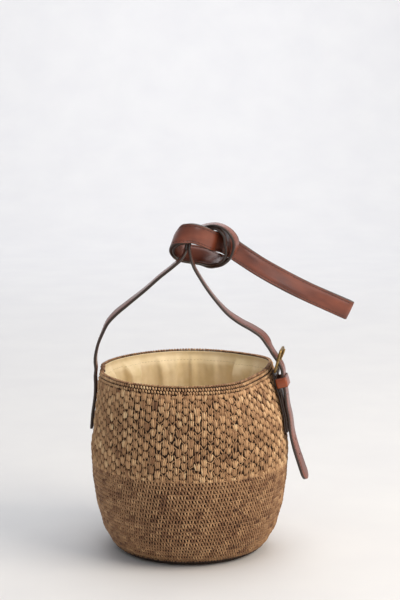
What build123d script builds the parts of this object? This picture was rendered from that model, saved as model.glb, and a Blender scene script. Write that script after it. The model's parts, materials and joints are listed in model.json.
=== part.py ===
"""Crocheted bucket bag with a knotted leather shoulder strap.

Millimetres. Origin at the centre of the base, on the floor; +Z up, +Y to the back.
The strap is sewn to the bag at the left and buckled to a sewn chape at the right.
"""
from build123d import *
from math import atan2, cos, degrees, hypot, pi, radians, sin
import os

# Bag body: height above the floor, outer radius
OUTLINE = [
    (0, 76), (4, 86), (12, 96.5), (30, 107), (60, 115), (95, 119.5),
    (130, 121), (170, 117.5), (200, 112), (218, 108), (226, 106),
]
LEAN = (-3.5, 4.0)          # how far the centre of the mouth stands off the base centre
LEAN_START = 185            # height at which the lean begins
RIM_TOP = 226
BASE_TOP = 12               # the base round turns into the lower wall
STITCH_CHANGE = 112         # tight stitches below, chunky stitches above
RIM_BOTTOM = 218            # the two finer edging rows
WALL = 7.0                  # crochet thickness
PATCH_GAP = 1.6             # space between crochet and lining
LINING = 1.2
FLOOR = 7.0                 # crochet thickness at the base
BOARD = 2.0                 # base stiffener
BOARD_RADIUS = 70
LAYER_GAP = 0.2

# Strap
STRAP_WIDTH = 24.0
PLY = 3.4
DOUBLED = 7.4               # two plies lying together
SEWN_CLEAR = 0.4            # gap from the sewn leather to the crochet
ANCHOR_BOTTOM = 152
RIGHT_AZIMUTH = -10.0       # the buckle side stands slightly to the front

# Hinge line of the strap, just above the mouth
SWING_HEIGHT = 266
SWING_LEFT = -109.0
SWING_RIGHT = 97.0          # measured outwards along the buckle side's azimuth
SWING_CLEAR = 0.8

# Buckle and chape, measured outwards and up on the buckle side
BAR = (107.6, 227.0)
BAR_RADIUS = 1.6
CHAPE_PLY = 2.3
FOLD_LENGTH = 7.5           # the plies close up over this length below the bar
FRAME_WIRE = 3.6
FRAME_LENGTH = 27.0         # bar to far crossbar
FRAME_WIDTH = 29.4          # between the centre lines of the two sides
FRAME_TILT = 22.0           # leaning outwards from upright
PRONG_RADIUS = 1.3
PRONG_EYE = 3.3
PRONG_SLOT = 7.0
KEEPER = (205.6, 218.6)     # lower and upper edge at rest
KEEPER_DOWN = 5.5           # free travel along the strap
KEEPER_UP = 1.5
KEEPER_WALL = 1.8
TAIL_HINGE_HEIGHT = 197.4
STRAP_GAP = 0.4             # strap to chape
POCKET_CLEAR = 0.8          # the crochet is pressed in behind the keeper
HOLE_AT = (114.5, 237.5)    # where the prong passes through the strap
HOLE_LEAN = -19.0
HOLE_WIDTH = 4.0
HOLE_LENGTH = 14.5          # long enough for the prong to lift a little
STITCH_PITCH = 4.4
STITCH_RADIUS = 0.5
STITCH_INSET = 3.0
CHAPE_THREAD = 0.25
HEM_HEIGHT = 213
HEM_COUNT = 84

# The doubled strap through the knot: centre point and direction across the strap
KNOT = [
    ((-2.2, -12.0, 377.2), (0, 1, 0)),
    ((-0.5, -10.0, 388.0), (0, 1, 0)),
    ((6.0, -8.0, 397.5), (0, 1, 0)),
    ((17.0, -7.0, 403.0), (0, 1, 0)),
    ((31.0, -11.0, 404.5), (0, 1, 0)),
    ((43.0, -14.2, 397.8), (0.05, 1, 0)),
    ((51.5, -13.5, 382.0), (0.1, 1, 0)),
    ((49.0, -12.5, 368.0), (0.05, 1, 0)),
    ((40.5, -7.0, 357.0), (0, 1, 0.05)),
    ((29.5, 3.0, 354.5), (0, 0.87, 0.5)),
    ((16.0, 12.0, 358.0), (0, 0.59, 0.81)),
    ((1.0, 13.0, 362.0), (0, 0.5, 0.87)),
    ((-11.5, 10.0, 368.5), (0, 0.6, 0.8)),
    ((-17.0, 1.0, 373.5), (0.05, 0.65, 0.76)),
    ((-18.5, -8.0, 380.5), (0.25, 0.5, 0.8)),
    ((-14.5, -19.0, 389.0), (0.4, 0.3, 0.85)),
    ((-7.0, -26.5, 394.0), (0.35, 0.12, 0.92)),
    ((2.0, -29.0, 395.5), (0.2, 0, 1)),
    ((14.0, -28.5, 392.0), (0.2, 0, 0.97)),
    ((25.5, -19.6, 384.3), (0.27, 0, 0.96)),
    ((34.5, -3.0, 380.5), (0.35, 0, 0.94)),
    ((43.0, 7.5, 377.0), (0.42, 0, 0.91)),
    ((56.0, 11.5, 370.0), (0.45, 0, 0.89)),
    ((90.0, 11.0, 351.0), (0.45, 0, 0.89)),
    ((128.0, 11.0, 331.5), (0.45, 0, 0.89)),
    ((165.0, 11.0, 313.0), (0.45, 0, 0.89)),
    ((195.0, 11.0, 298.0), (0.45, 0, 0.89)),
]
BAND_END = 12               # the band hands over to the front wrap
WRAP_END = 22               # the wrap hands over to the loop end

LEFT_LEG = [
    (-106.5, -1.0, 272.0), (-99.5, -2.0, 284.0), (-90.5, -3.5, 294.5), (-77.5, -5.5, 304.5),
    (-55.0, -9.0, 324.0), (-34.0, -13.5, 343.5), (-20.0, -18.2, 355.2), (-8.5, -17.2, 366.0),
    (-5.0, -12.5, 373.2),
]
RIGHT_LEG = [
    (91.0, -17.0, 272.0), (75.0, -17.0, 281.5), (56.0, -17.0, 291.5), (43.0, -16.5, 301.0),
    (31.0, -16.0, 311.0), (16.5, -15.0, 329.5), (7.5, -14.0, 341.0), (2.5, -13.5, 351.0),
    (0.4, -13.0, 362.0), (-0.2, -12.5, 374.6),
]


def smooth(value):
    """Ease from 0 to 1."""
    value = min(max(value, 0.0), 1.0)
    return value * value * (3 - 2 * value)


def centre_at(height):
    """Centre of the bag's round section at a height."""
    share = smooth((height - LEAN_START) / (RIM_TOP - LEAN_START))
    return LEAN[0] * share, LEAN[1] * share


def radius_at(height):
    """Outer radius of the crochet at a height, straight between outline points."""
    for (low, start), (high, end) in zip(OUTLINE, OUTLINE[1:]):
        if height <= high:
            return start + (end - start) * (height - low) / (high - low)
    return OUTLINE[-1][1]


def reach(azimuth, height):
    """Distance from the vertical axis to the crochet's outside, in one direction."""
    x, y = centre_at(height)
    return radius_at(height) + x * cos(radians(azimuth)) + y * sin(radians(azimuth))


def round_body(low, high, inset):
    """Solid of round sections between two heights, a distance inside the outline."""
    heights = [low] + [z for z, _ in OUTLINE if low < z < high] + [high]
    sections = []
    for z in heights:
        x, y = centre_at(z)
        disc = Plane((x, y, z)) * Circle(radius_at(z) - inset)
        sections.append(disc.face().outer_wire())
    return Solid.make_loft(sections, ruled=True)


def shell(low, high, outer, inner):
    """Ring-shaped wall between two heights and two insets."""
    return round_body(low, high, outer) - round_body(low, high, inner)


def ribbon(stations, thickness, width=STRAP_WIDTH):
    """Strap lofted through (centre, across, along) stations."""
    sections = []
    for centre, across, along in stations:
        across = (across - along * across.dot(along)).normalized()
        plane = Plane(origin=centre, x_dir=across, z_dir=along)
        sections.append((plane * Rectangle(width, thickness)).face().outer_wire())
    return Solid.make_loft(sections, ruled=True)


def directed(points):
    """Add the direction along the strap to a list of (centre, across)."""
    centres = [Vector(*centre) for centre, _ in points]
    stations = []
    for i, (centre, across) in enumerate(points):
        ahead = centres[min(i + 1, len(centres) - 1)]
        behind = centres[max(i - 1, 0)]
        stations.append((centres[i], Vector(*across), (ahead - behind).normalized()))
    return stations


def swing_frame():
    """Swing line: its left point, its right point and its direction."""
    left = Vector(SWING_LEFT, 0, SWING_HEIGHT)
    turn = radians(RIGHT_AZIMUTH)
    right = Vector(SWING_RIGHT * cos(turn), SWING_RIGHT * sin(turn), SWING_HEIGHT)
    return left, right, (right - left).normalized()


def leg(points, pivot, direction):
    """One strap leg, with a round lower end on the swing line."""
    across = Vector(0, 0, 1).cross(direction)
    route = [(tuple(pivot), tuple(across))] + [(p, (0, 1, 0)) for p in points]
    stations = directed(route)
    stations[0] = (pivot, across, Vector(0, 0, 1))
    strip = ribbon(stations, PLY)
    end_plane = Plane(origin=pivot, x_dir=across, z_dir=direction)
    disc = extrude(end_plane * Circle(STRAP_WIDTH / 2), PLY / 2, both=True)
    lower = Pos(*pivot) * Pos(0, 0, -STRAP_WIDTH / 2) * Box(60, 60, STRAP_WIDTH)
    return strip + (disc & lower)


def side_strip(line, thickness, width=STRAP_WIDTH):
    """Leather strip following an (outwards, up) line on the buckle side."""
    outline = []
    for sign in (1, -1):
        edge = []
        for i, (out, up) in enumerate(line):
            ahead = line[min(i + 1, len(line) - 1)]
            behind = line[max(i - 1, 0)]
            run = hypot(ahead[0] - behind[0], ahead[1] - behind[1])
            normal = ((ahead[1] - behind[1]) / run, (behind[0] - ahead[0]) / run)
            edge.append((out + sign * normal[0] * thickness / 2, up + sign * normal[1] * thickness / 2))
        outline += edge if sign == 1 else edge[::-1]
    return side_plate(outline, width)


def side_plate(outline, width):
    """Plate from an (outwards, up) outline, centred on the strap's width."""
    face = Plane.XZ * Polygon(*outline, align=None)
    return extrude(face, width / 2, both=True)


def rod(start, end, radius):
    """Round bar between two points."""
    line = Vector(*end) - Vector(*start)
    return Solid.make_cylinder(radius, line.length, Plane(origin=start, z_dir=line))


def on_buckle_side(shape):
    """Turn a shape built at azimuth 0 to the buckle side."""
    return Rot(0, 0, RIGHT_AZIMUTH) * shape


def wall_line(azimuth, heights, offset):
    """Line of (outwards, up) points at a distance outside the crochet."""
    return [(reach(azimuth, z) + offset, z) for z in heights]


def stitch_row(azimuth, low, high, offset, side, radius):
    """Row of thread stitches running up one edge of sewn leather."""
    row = []
    count = int((high - low) / STITCH_PITCH)
    for i in range(count):
        bottom = low + (i + 0.2) * STITCH_PITCH
        top = low + (i + 0.8) * STITCH_PITCH
        y = side * (STRAP_WIDTH / 2 - STITCH_INSET)
        row.append(rod(
            (reach(azimuth, bottom) + offset, y, bottom),
            (reach(azimuth, top) + offset, y, top),
            radius,
        ))
    return row


def anchor_stitches(azimuth, low, high, offset, radius):
    """Stitches up both edges and across the end of a sewn strap, for azimuth 0."""
    rows = stitch_row(azimuth, low, high, offset, 1, radius)
    rows += stitch_row(azimuth, low, high, offset, -1, radius)
    half = STRAP_WIDTH / 2 - STITCH_INSET - STITCH_PITCH * 0.4
    count = int(2 * half / STITCH_PITCH)
    for i in range(count):
        y = -half + (i + 0.2) * 2 * half / count
        out = reach(azimuth, low) + offset
        rows.append(rod((out, y, low), (out, y + 0.6 * 2 * half / count, low), radius))
    return Compound(rows)


def hem_stitches():
    """Ring of thread that holds the lining's top edge."""
    x, y = centre_at(HEM_HEIGHT)
    radius = radius_at(HEM_HEIGHT) - WALL - PATCH_GAP - LINING - STITCH_RADIUS - 0.1
    rows = []
    for i in range(HEM_COUNT):
        start = 2 * pi * i / HEM_COUNT
        end = start + 0.6 * 2 * pi / HEM_COUNT
        rows.append(rod(
            (x + radius * cos(start), y + radius * sin(start), HEM_HEIGHT),
            (x + radius * cos(end), y + radius * sin(end), HEM_HEIGHT),
            STITCH_RADIUS * 0.8,
        ))
    return Compound(rows)


def crochet_body():
    """The four zones of the crochet: base, tight wall, chunky wall and rim."""
    floor = round_body(0, BASE_TOP, 0) - round_body(FLOOR, BASE_TOP + 1, WALL)
    return {
        "crochet_base": floor,
        "crochet_lower_wall": shell(BASE_TOP, STITCH_CHANGE, 0, WALL),
        "crochet_upper_wall": shell(STITCH_CHANGE, RIM_BOTTOM, 0, WALL),
        "crochet_rim": shell(RIM_BOTTOM, RIM_TOP, 0, WALL + PATCH_GAP + LINING),
    }


def inner_pieces():
    """Base board, lining and the leather patches behind the sewn strap ends."""
    inset = WALL + PATCH_GAP
    board_bottom = FLOOR + LAYER_GAP
    lining_bottom = board_bottom + BOARD + LAYER_GAP
    board = Pos(0, 0, board_bottom + BOARD / 2) * Cylinder(BOARD_RADIUS, BOARD)
    lining_floor = Pos(0, 0, lining_bottom + LINING / 2) * Cylinder(BOARD_RADIUS + 8, LINING)
    lining_wall = shell(lining_bottom + LINING + LAYER_GAP, RIM_BOTTOM - LAYER_GAP, inset, inset + LINING)
    patch_zone = shell(ANCHOR_BOTTOM - 4, RIM_BOTTOM - 4, WALL + LAYER_GAP, inset - LAYER_GAP)
    patches = {}
    for name, azimuth in (("left_backing_patch", 180), ("right_backing_patch", RIGHT_AZIMUTH)):
        window = Rot(0, 0, azimuth) * Pos(110, 0, 180) * Box(80, STRAP_WIDTH + 4, 100)
        patches[name] = patch_zone & window
    return {
        "base_board": board,
        "lining_wall": lining_wall,
        "lining_base": lining_floor,
        **patches,
    }


def left_end():
    """Strap end sewn to the left side, up to just under the swing line."""
    offset = SEWN_CLEAR + PLY / 2
    line = wall_line(180, (ANCHOR_BOTTOM, 170, 200, 218), offset)
    top = SWING_HEIGHT - STRAP_WIDTH / 2 - SWING_CLEAR
    line += [(reach(180, 226) + offset + 0.8, 232), (-SWING_LEFT + 2.0, top)]
    strip = Rot(0, 0, 180) * side_strip(line, PLY)
    lift = SEWN_CLEAR + PLY + STITCH_RADIUS - 0.05
    thread = anchor_stitches(180, ANCHOR_BOTTOM + 4, RIM_BOTTOM, lift, STITCH_RADIUS)
    place = Rot(0, 0, 180)
    return {"strap_left_end": strip - place * thread, "left_anchor_stitches": place * thread}


def chape_lines():
    """Centre lines of the two chape plies, from the sewn end up to the bar."""
    inner = SEWN_CLEAR + CHAPE_PLY / 2
    outer = inner + CHAPE_PLY + 0.02
    heights = (ANCHOR_BOTTOM, 170, 185, 200)
    bar_out, bar_up = BAR
    fold = BAR_RADIUS + 0.2 + CHAPE_PLY / 2
    closing = 0.65 * fold
    inner_line = wall_line(RIGHT_AZIMUTH, heights, inner)
    inner_line += [(bar_out - closing, bar_up - FOLD_LENGTH), (bar_out - fold, bar_up)]
    outer_line = wall_line(RIGHT_AZIMUTH, heights, outer)
    outer_line += [(bar_out + closing, bar_up - FOLD_LENGTH), (bar_out + fold, bar_up)]
    return inner_line, outer_line, fold


def chape_piece():
    """Folded strip that holds the buckle bar: two plies, a fold and a slot for the prong."""
    inner_line, outer_line, fold = chape_lines()
    bar_out, bar_up = BAR
    chape = side_strip(inner_line, CHAPE_PLY) + side_strip(outer_line, CHAPE_PLY)
    ring = Cylinder(fold + CHAPE_PLY / 2, STRAP_WIDTH) - Cylinder(fold - CHAPE_PLY / 2, STRAP_WIDTH + 2)
    upper = Pos(0, -20, 0) * Box(40, 40, STRAP_WIDTH)
    chape += Pos(bar_out, 0, bar_up) * Rot(90, 0, 0) * (ring - upper)
    bore = Pos(bar_out, 0, bar_up) * Rot(90, 0, 0) * Cylinder(BAR_RADIUS + 0.25, STRAP_WIDTH + 2)
    slot = Pos(bar_out, 0, bar_up + 1) * Box(16, PRONG_SLOT, 13)
    return chape - bore - slot


def over_chape(height):
    """Centre of the strap where it lies on the chape's outer face."""
    line = chape_lines()[1]
    for (start, low), (end, high) in zip(line, line[1:]):
        if height <= high:
            share = (height - low) / (high - low)
            return start + (end - start) * share + CHAPE_PLY / 2 + STRAP_GAP + PLY / 2
    return line[-1][0] + CHAPE_PLY / 2 + STRAP_GAP + PLY / 2


def buckle_run():
    """Strap from the swing line through the buckle and the keeper."""
    top = SWING_HEIGHT - STRAP_WIDTH / 2 - SWING_CLEAR
    line = [
        (101.8, top),
        (108.2, 248.6),
        (112.2, 243.0),
        (114.6, 236.0),
        (over_chape(229) + 0.8, 229.0),
        (over_chape(220), 220.0),
        (over_chape(TAIL_HINGE_HEIGHT + 2), TAIL_HINGE_HEIGHT + 2),
    ]
    strip = side_strip(line, PLY)
    hole = Pos(HOLE_AT[0], 0, HOLE_AT[1]) * Rot(0, HOLE_LEAN, 0) * Box(12, HOLE_WIDTH, HOLE_LENGTH)
    return strip - hole


def tail_piece():
    """Free end of the strap below the keeper, with two spare holes."""
    start = (over_chape(TAIL_HINGE_HEIGHT), TAIL_HINGE_HEIGHT)
    line = [
        start,
        (over_chape(185) + 0.3, 185),
        (over_chape(170) + 0.4, 170),
        (127.8, 150),
        (132.0, 133),
        (138.6, 113),
        (146.0, 92),
    ]
    strip = side_strip(line, PLY)
    strip += Pos(start[0], 0, start[1]) * Rot(90, 0, 0) * Cylinder(PLY / 2, STRAP_WIDTH)
    for out, up, lean in ((129.6, 142.0, 15), (135.4, 122.5, 18)):
        strip -= Pos(out, 0, up) * Rot(0, 90 - lean, 0) * Cylinder(HOLE_WIDTH / 2, 12)
    return strip, start


def buckle_frame_piece(tilt):
    """Open three-sided brass frame closed by the round heel bar."""
    half = FRAME_WIDTH / 2
    wire = FRAME_WIRE
    bar_out, bar_up = BAR
    plane = Plane(origin=(bar_out, 0, bar_up), x_dir=(0, 1, 0), z_dir=(cos(tilt), 0, -sin(tilt)))
    outer = Pos(0, FRAME_LENGTH / 2) * RectangleRounded(2 * half + wire, FRAME_LENGTH + wire, 4.5)
    inner = Pos(0, FRAME_LENGTH / 2) * RectangleRounded(2 * half - wire, FRAME_LENGTH - wire, 2.5)
    heel = Pos(0, -wire / 2) * Rectangle(2 * half - wire, wire * 2.5)
    frame = extrude(plane * (outer - inner - heel), wire / 2 - 0.3, both=True)
    return frame + rod((bar_out, -half, bar_up), (bar_out, half, bar_up), BAR_RADIUS)


def prong_piece(tilt):
    """Prong with an eye round the bar; its tip rests on the far crossbar."""
    bar_out, bar_up = BAR
    half = FRAME_WIDTH / 2
    far = (bar_out + FRAME_LENGTH * sin(tilt), bar_up + FRAME_LENGTH * cos(tilt))
    rest = FRAME_WIRE / 2 + PRONG_RADIUS + 0.15
    past = 1.5
    tip = (
        far[0] + rest * cos(tilt) + past * sin(tilt),
        0,
        far[1] - rest * sin(tilt) + past * cos(tilt),
    )
    root = (bar_out + PRONG_EYE * 0.4, 0, bar_up + PRONG_EYE * 0.6)
    prong = rod(root, tip, PRONG_RADIUS) + Pos(*tip) * Sphere(PRONG_RADIUS)
    prong += Pos(bar_out, 0, bar_up) * Rot(90, 0, 0) * Cylinder(PRONG_EYE, 3.2)
    return prong - rod((bar_out, -half, bar_up), (bar_out, half, bar_up), BAR_RADIUS + 0.15)


def keeper_piece(extra=0.0):
    """Loop round the chape and the strap; extra grows it for the pocket behind it."""
    low, high = KEEPER
    middle = (low + high) / 2
    out_low, out_high = over_chape(low), over_chape(high)
    lean = degrees(atan2(out_low - out_high, high - low))
    outside = PLY / 2 + 0.4
    inside = -(PLY / 2 + STRAP_GAP + 2 * CHAPE_PLY + 2.0)
    centre = (inside + outside) / 2
    depth = outside - inside
    width = STRAP_WIDTH + 1.2
    outer = Box(depth + 2 * KEEPER_WALL, width + 2 * KEEPER_WALL, high - low)
    outer = fillet(outer.edges().filter_by(Axis.Z), 2.5)
    if extra:
        travel = KEEPER_UP + KEEPER_DOWN + 2 * extra
        block = Box(depth + 2 * KEEPER_WALL, width + 2 * KEEPER_WALL + 2 * extra, high - low + travel)
        shape = Pos(-extra, 0, (KEEPER_UP - KEEPER_DOWN) / 2) * block
    else:
        shape = outer - Box(depth, width, high - low + 2)
    place = Pos((out_low + out_high) / 2, 0, middle) * Rot(0, -lean, 0) * Pos(centre, 0, 0)
    return place * shape, lean


def main():
    """Build every piece and write one STEP file for each."""
    os.makedirs("parts", exist_ok=True)
    left_pivot, right_pivot, direction = swing_frame()
    nodes = {**crochet_body(), **inner_pieces(), **left_end()}
    knot = directed(KNOT)
    nodes["strap_knot_band"] = ribbon(knot[:BAND_END + 1], DOUBLED)
    nodes["strap_knot_wrap"] = ribbon(knot[BAND_END:WRAP_END + 1], DOUBLED)
    nodes["strap_loop_end"] = ribbon(knot[WRAP_END:], DOUBLED)
    nodes["strap_left_leg"] = leg(LEFT_LEG, left_pivot, direction)
    nodes["strap_right_leg"] = leg(RIGHT_LEG, right_pivot, direction)
    nodes["hem_stitches"] = hem_stitches()
    tilt = radians(FRAME_TILT)
    lift = SEWN_CLEAR + 2 * CHAPE_PLY
    thread = anchor_stitches(RIGHT_AZIMUTH, ANCHOR_BOTTOM + 4, 194, lift, CHAPE_THREAD)
    tail, hinge = tail_piece()
    keeper, keeper_lean = keeper_piece()
    pocket = on_buckle_side(keeper_piece(POCKET_CLEAR)[0])
    for name in ("crochet_upper_wall", "crochet_rim"):
        nodes[name] = nodes[name] - pocket
    nodes["chape"] = on_buckle_side(chape_piece() - thread)
    nodes["chape_stitches"] = on_buckle_side(thread)
    nodes["strap_buckle_run"] = on_buckle_side(buckle_run())
    nodes["strap_tail"] = on_buckle_side(tail)
    nodes["buckle_frame"] = on_buckle_side(buckle_frame_piece(tilt))
    nodes["buckle_prong"] = on_buckle_side(prong_piece(tilt))
    nodes["keeper"] = on_buckle_side(keeper)
    for name, shape in nodes.items():
        export_step(shape, f"parts/{name}.step")
    # the places and directions of the joints
    print("swing line", left_pivot, right_pivot, direction)
    print("tail hinge", hinge, "keeper lean", keeper_lean)


main()
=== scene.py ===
"""Looks of a crocheted raffia bucket bag with a knotted leather shoulder strap.

Metres. The bag stands on the floor at the origin, +Z up, +Y to the back. The strap is sewn to
the left side and buckled to a sewn chape on the right side.
"""
import json
import logging
import math
from collections.abc import Callable, Sequence
from dataclasses import dataclass, field, fields
from enum import Enum

import bmesh
import bpy
import numpy as np
from mathutils import Matrix, Vector


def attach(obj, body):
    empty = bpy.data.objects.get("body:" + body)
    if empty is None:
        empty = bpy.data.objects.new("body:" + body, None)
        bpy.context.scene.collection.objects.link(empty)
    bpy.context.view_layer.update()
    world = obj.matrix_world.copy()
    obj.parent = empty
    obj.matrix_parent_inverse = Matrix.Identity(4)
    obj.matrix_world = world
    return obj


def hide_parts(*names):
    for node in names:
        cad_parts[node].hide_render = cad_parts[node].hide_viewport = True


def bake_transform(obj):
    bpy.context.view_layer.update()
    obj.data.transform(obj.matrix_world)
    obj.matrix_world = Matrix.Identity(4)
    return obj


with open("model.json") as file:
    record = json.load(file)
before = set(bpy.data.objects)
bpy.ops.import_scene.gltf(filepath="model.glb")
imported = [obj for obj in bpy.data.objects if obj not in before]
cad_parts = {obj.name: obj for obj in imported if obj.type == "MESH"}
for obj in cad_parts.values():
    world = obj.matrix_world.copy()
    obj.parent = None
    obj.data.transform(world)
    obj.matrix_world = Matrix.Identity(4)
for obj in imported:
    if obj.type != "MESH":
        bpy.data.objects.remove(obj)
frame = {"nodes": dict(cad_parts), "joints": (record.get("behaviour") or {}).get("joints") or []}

LOG = logging.getLogger("bucket_bag")
MM = 0.001
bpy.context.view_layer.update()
JOINTS = {joint["name"]: joint for joint in frame["joints"]}

STRAP_WIDTH = 24 * MM
PLY = 3.4 * MM
SEWN_CLEAR = 0.4 * MM       # from the crochet to the sewn leather
STITCH_PITCH = 4.4 * MM     # saddle stitches in the leather
STITCH_INSET = 3 * MM       # from the strap's edge to its stitch line


# ---------------------------------------------------------------- numbers and curves

def eased(value: np.ndarray) -> np.ndarray:
    """Smooth step from 0 to 1."""
    share = np.clip(value, 0.0, 1.0)
    return share * share * (3 - 2 * share)


def unit(vectors: np.ndarray) -> np.ndarray:
    """Vectors scaled to length one."""
    return vectors / np.maximum(np.linalg.norm(vectors, axis=-1, keepdims=True), 1e-12)


def smooth_run(places: np.ndarray, values: np.ndarray, at: np.ndarray) -> np.ndarray:
    """Smooth curve through values given at rising places.

    Args:
        places: Rising positions of the known values.
        values: One value or one row of values for each place.
        at: Positions to read.

    Returns:
        The curve's value at each position.
    """
    slope = np.gradient(values, places, axis=0)
    index = np.clip(np.searchsorted(places, at) - 1, 0, len(places) - 2)
    step = places[index + 1] - places[index]
    share = (at - places[index]) / step
    if values.ndim > 1:
        share, step = share[:, None], step[:, None]
    rest = 1 - share
    ahead = share * share * (3 - 2 * share) * values[index + 1]
    behind = (1 + 2 * share) * rest * rest * values[index]
    bend = share * rest * rest * slope[index] - share * share * rest * slope[index + 1]
    return behind + ahead + bend * step


@dataclass(frozen=True)
class Around:
    """A value that changes smoothly all the way round, from a few (azimuth in degrees, value)."""

    marks: tuple[tuple[float, float], ...]

    def at(self, azimuth: np.ndarray) -> np.ndarray:
        """Value in the given directions, in radians.

        Args:
            azimuth: Directions in radians.

        Returns:
            The value in each direction.
        """
        known = np.array(sorted(self.marks), float)
        turns = np.concatenate([known + (shift, 0) for shift in (-360, 0, 360)])
        return smooth_run(turns[:, 0], turns[:, 1], np.degrees(azimuth) % 360)


def apart(azimuth: np.ndarray, centre: float) -> np.ndarray:
    """Signed difference in degrees between directions in radians and a centre in degrees."""
    return (np.degrees(azimuth) - centre + 180) % 360 - 180


# ---------------------------------------------------------------- nodes, meshes and objects

def add_node(tree: bpy.types.NodeTree, kind: str, inputs: dict | None = None, **settings) -> bpy.types.Node:
    """Add a node with its settings and fill its inputs.

    Args:
        tree: Node tree that gets the node.
        kind: Blender's name of the node type.
        inputs: Socket name or index to a value, or to the output socket that feeds it.
        **settings: Properties of the node.

    Returns:
        The new node.
    """
    node = tree.nodes.new(kind)
    for key, value in settings.items():
        setattr(node, key, value)
    for key, value in (inputs or {}).items():
        socket = node.inputs[key]
        if isinstance(value, bpy.types.NodeSocket):
            tree.links.new(value, socket)
        else:
            socket.default_value = value
    return node


def linear(colour: str) -> tuple[float, float, float, float]:
    """Linear colour of an sRGB hex value.

    Args:
        colour: Hex value such as "#80593a".

    Returns:
        Linear red, green, blue and alpha.
    """
    parts = [int(colour[i:i + 2], 16) / 255 for i in (1, 3, 5)]
    lit = [c / 12.92 if c <= 0.04045 else ((c + 0.055) / 1.055) ** 2.4 for c in parts]
    return (lit[0], lit[1], lit[2], 1.0)


def paint_ramp(ramp: bpy.types.Node, stops: Sequence[tuple[float, str]]) -> None:
    """Give a colour ramp its (place, hex colour) stops.

    Args:
        ramp: Colour ramp node.
        stops: Position and hex colour of each stop, rising.
    """
    elements = ramp.color_ramp.elements
    while len(elements) < len(stops):
        elements.new(0.5)
    for element, (place, colour) in zip(elements, stops):
        element.position = place
        element.color = linear(colour)


def store(mesh: bpy.types.Mesh, name: str, values: np.ndarray) -> None:
    """Store one number or one vector on each point of a mesh.

    Args:
        mesh: Mesh that gets the attribute.
        name: Name of the attribute.
        values: One number or one vector for each point.
    """
    vector = values.ndim > 1
    attribute = mesh.attributes.new(name, "FLOAT_VECTOR" if vector else "FLOAT", "POINT")
    attribute.data.foreach_set("vector" if vector else "value", values.astype(np.float32).ravel())


def make_object(name: str, points: np.ndarray, faces: Sequence[Sequence[int]] = (),
                material: bpy.types.Material | None = None, smooth: bool = True) -> bpy.types.Object:
    """New object at the origin from points and faces.

    Args:
        name: Name of the object and its mesh.
        points: One row of three coordinates for each point.
        faces: Point numbers of each face.
        material: Finish of all faces.
        smooth: Whether faces are shaded smoothly.

    Returns:
        The object, linked to the scene.
    """
    mesh = bpy.data.meshes.new(name)
    mesh.from_pydata(points.tolist(), [], [tuple(face) for face in faces])
    if material:
        mesh.materials.append(material)
    for polygon in mesh.polygons:
        polygon.use_smooth = smooth
    thing = bpy.data.objects.new(name, mesh)
    bpy.context.scene.collection.objects.link(thing)
    return thing


def outward(thing: bpy.types.Object, merge: bool = True) -> None:
    """Turn all faces of a mesh outwards.

    Args:
        thing: The object.
        merge: Whether doubled points are merged first.
    """
    work = bmesh.new()
    work.from_mesh(thing.data)
    if merge:
        bmesh.ops.remove_doubles(work, verts=work.verts, dist=0.00001)
    bmesh.ops.recalc_face_normals(work, faces=work.faces)
    work.to_mesh(thing.data)
    work.free()


def drop(thing: bpy.types.Object) -> None:
    """Remove an object and its mesh.

    Args:
        thing: The object.
    """
    mesh = thing.data
    bpy.data.objects.remove(thing)
    bpy.data.meshes.remove(mesh)


def joined(things: Sequence[bpy.types.Object]) -> bpy.types.Object:
    """Join several objects into the first.

    Args:
        things: Objects to join.

    Returns:
        The first object, which now holds all of them.
    """
    with bpy.context.temp_override(
        active_object=things[0], object=things[0],
        selected_objects=list(things), selected_editable_objects=list(things),
    ):
        bpy.ops.object.join()
    return things[0]


def finished(thing: bpy.types.Object) -> None:
    """Apply all modifiers of an object to its mesh.

    Args:
        thing: The object.
    """
    graph = bpy.context.evaluated_depsgraph_get()
    graph.update()
    mesh = bpy.data.meshes.new_from_object(thing.evaluated_get(graph), depsgraph=graph)
    thing.modifiers.clear()
    thing.data = mesh


def carve(thing: bpy.types.Object, cutters: Sequence[bpy.types.Object]) -> None:
    """Cut holes with other objects, which are then removed.

    Args:
        thing: The object.
        cutters: Closed objects in the shape of the holes.
    """
    for cutter in cutters:
        cut = thing.modifiers.new("hole", "BOOLEAN")
        cut.operation = "DIFFERENCE"
        cut.solver = "EXACT"
        cut.object = cutter
    finished(thing)
    for cutter in cutters:
        drop(cutter)


def tube_faces(rings: int, sides: int, closed: bool = False, capped: bool = True) -> list[list[int]]:
    """Faces between rings of points, with caps on an open tube's ends.

    Args:
        rings: Number of rings.
        sides: Points in each ring.
        closed: Whether the last ring joins the first.
        capped: Whether an open tube gets caps.

    Returns:
        Point numbers of each face.
    """
    faces = []
    for i in range(rings if closed else rings - 1):
        start, after = i * sides, (i + 1) % rings * sides
        for j in range(sides):
            k = (j + 1) % sides
            faces.append([start + j, start + k, after + k, after + j])
    if capped and not closed:
        faces.append(list(range(sides))[::-1])
        faces.append([(rings - 1) * sides + j for j in range(sides)])
    return faces


# ---------------------------------------------------------------- finishes

def new_material(name: str) -> tuple[bpy.types.Material, bpy.types.NodeTree, bpy.types.Node]:
    """Empty node material with its principled shader linked to the output.

    Args:
        name: Name of the real finish.

    Returns:
        The material, its tree and its shader.
    """
    material = bpy.data.materials.new(name)
    material.use_nodes = True
    tree = material.node_tree
    tree.nodes.clear()
    shader = add_node(tree, "ShaderNodeBsdfPrincipled")
    add_node(tree, "ShaderNodeOutputMaterial", {"Surface": shader.outputs["BSDF"]})
    return material, tree, shader


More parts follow.
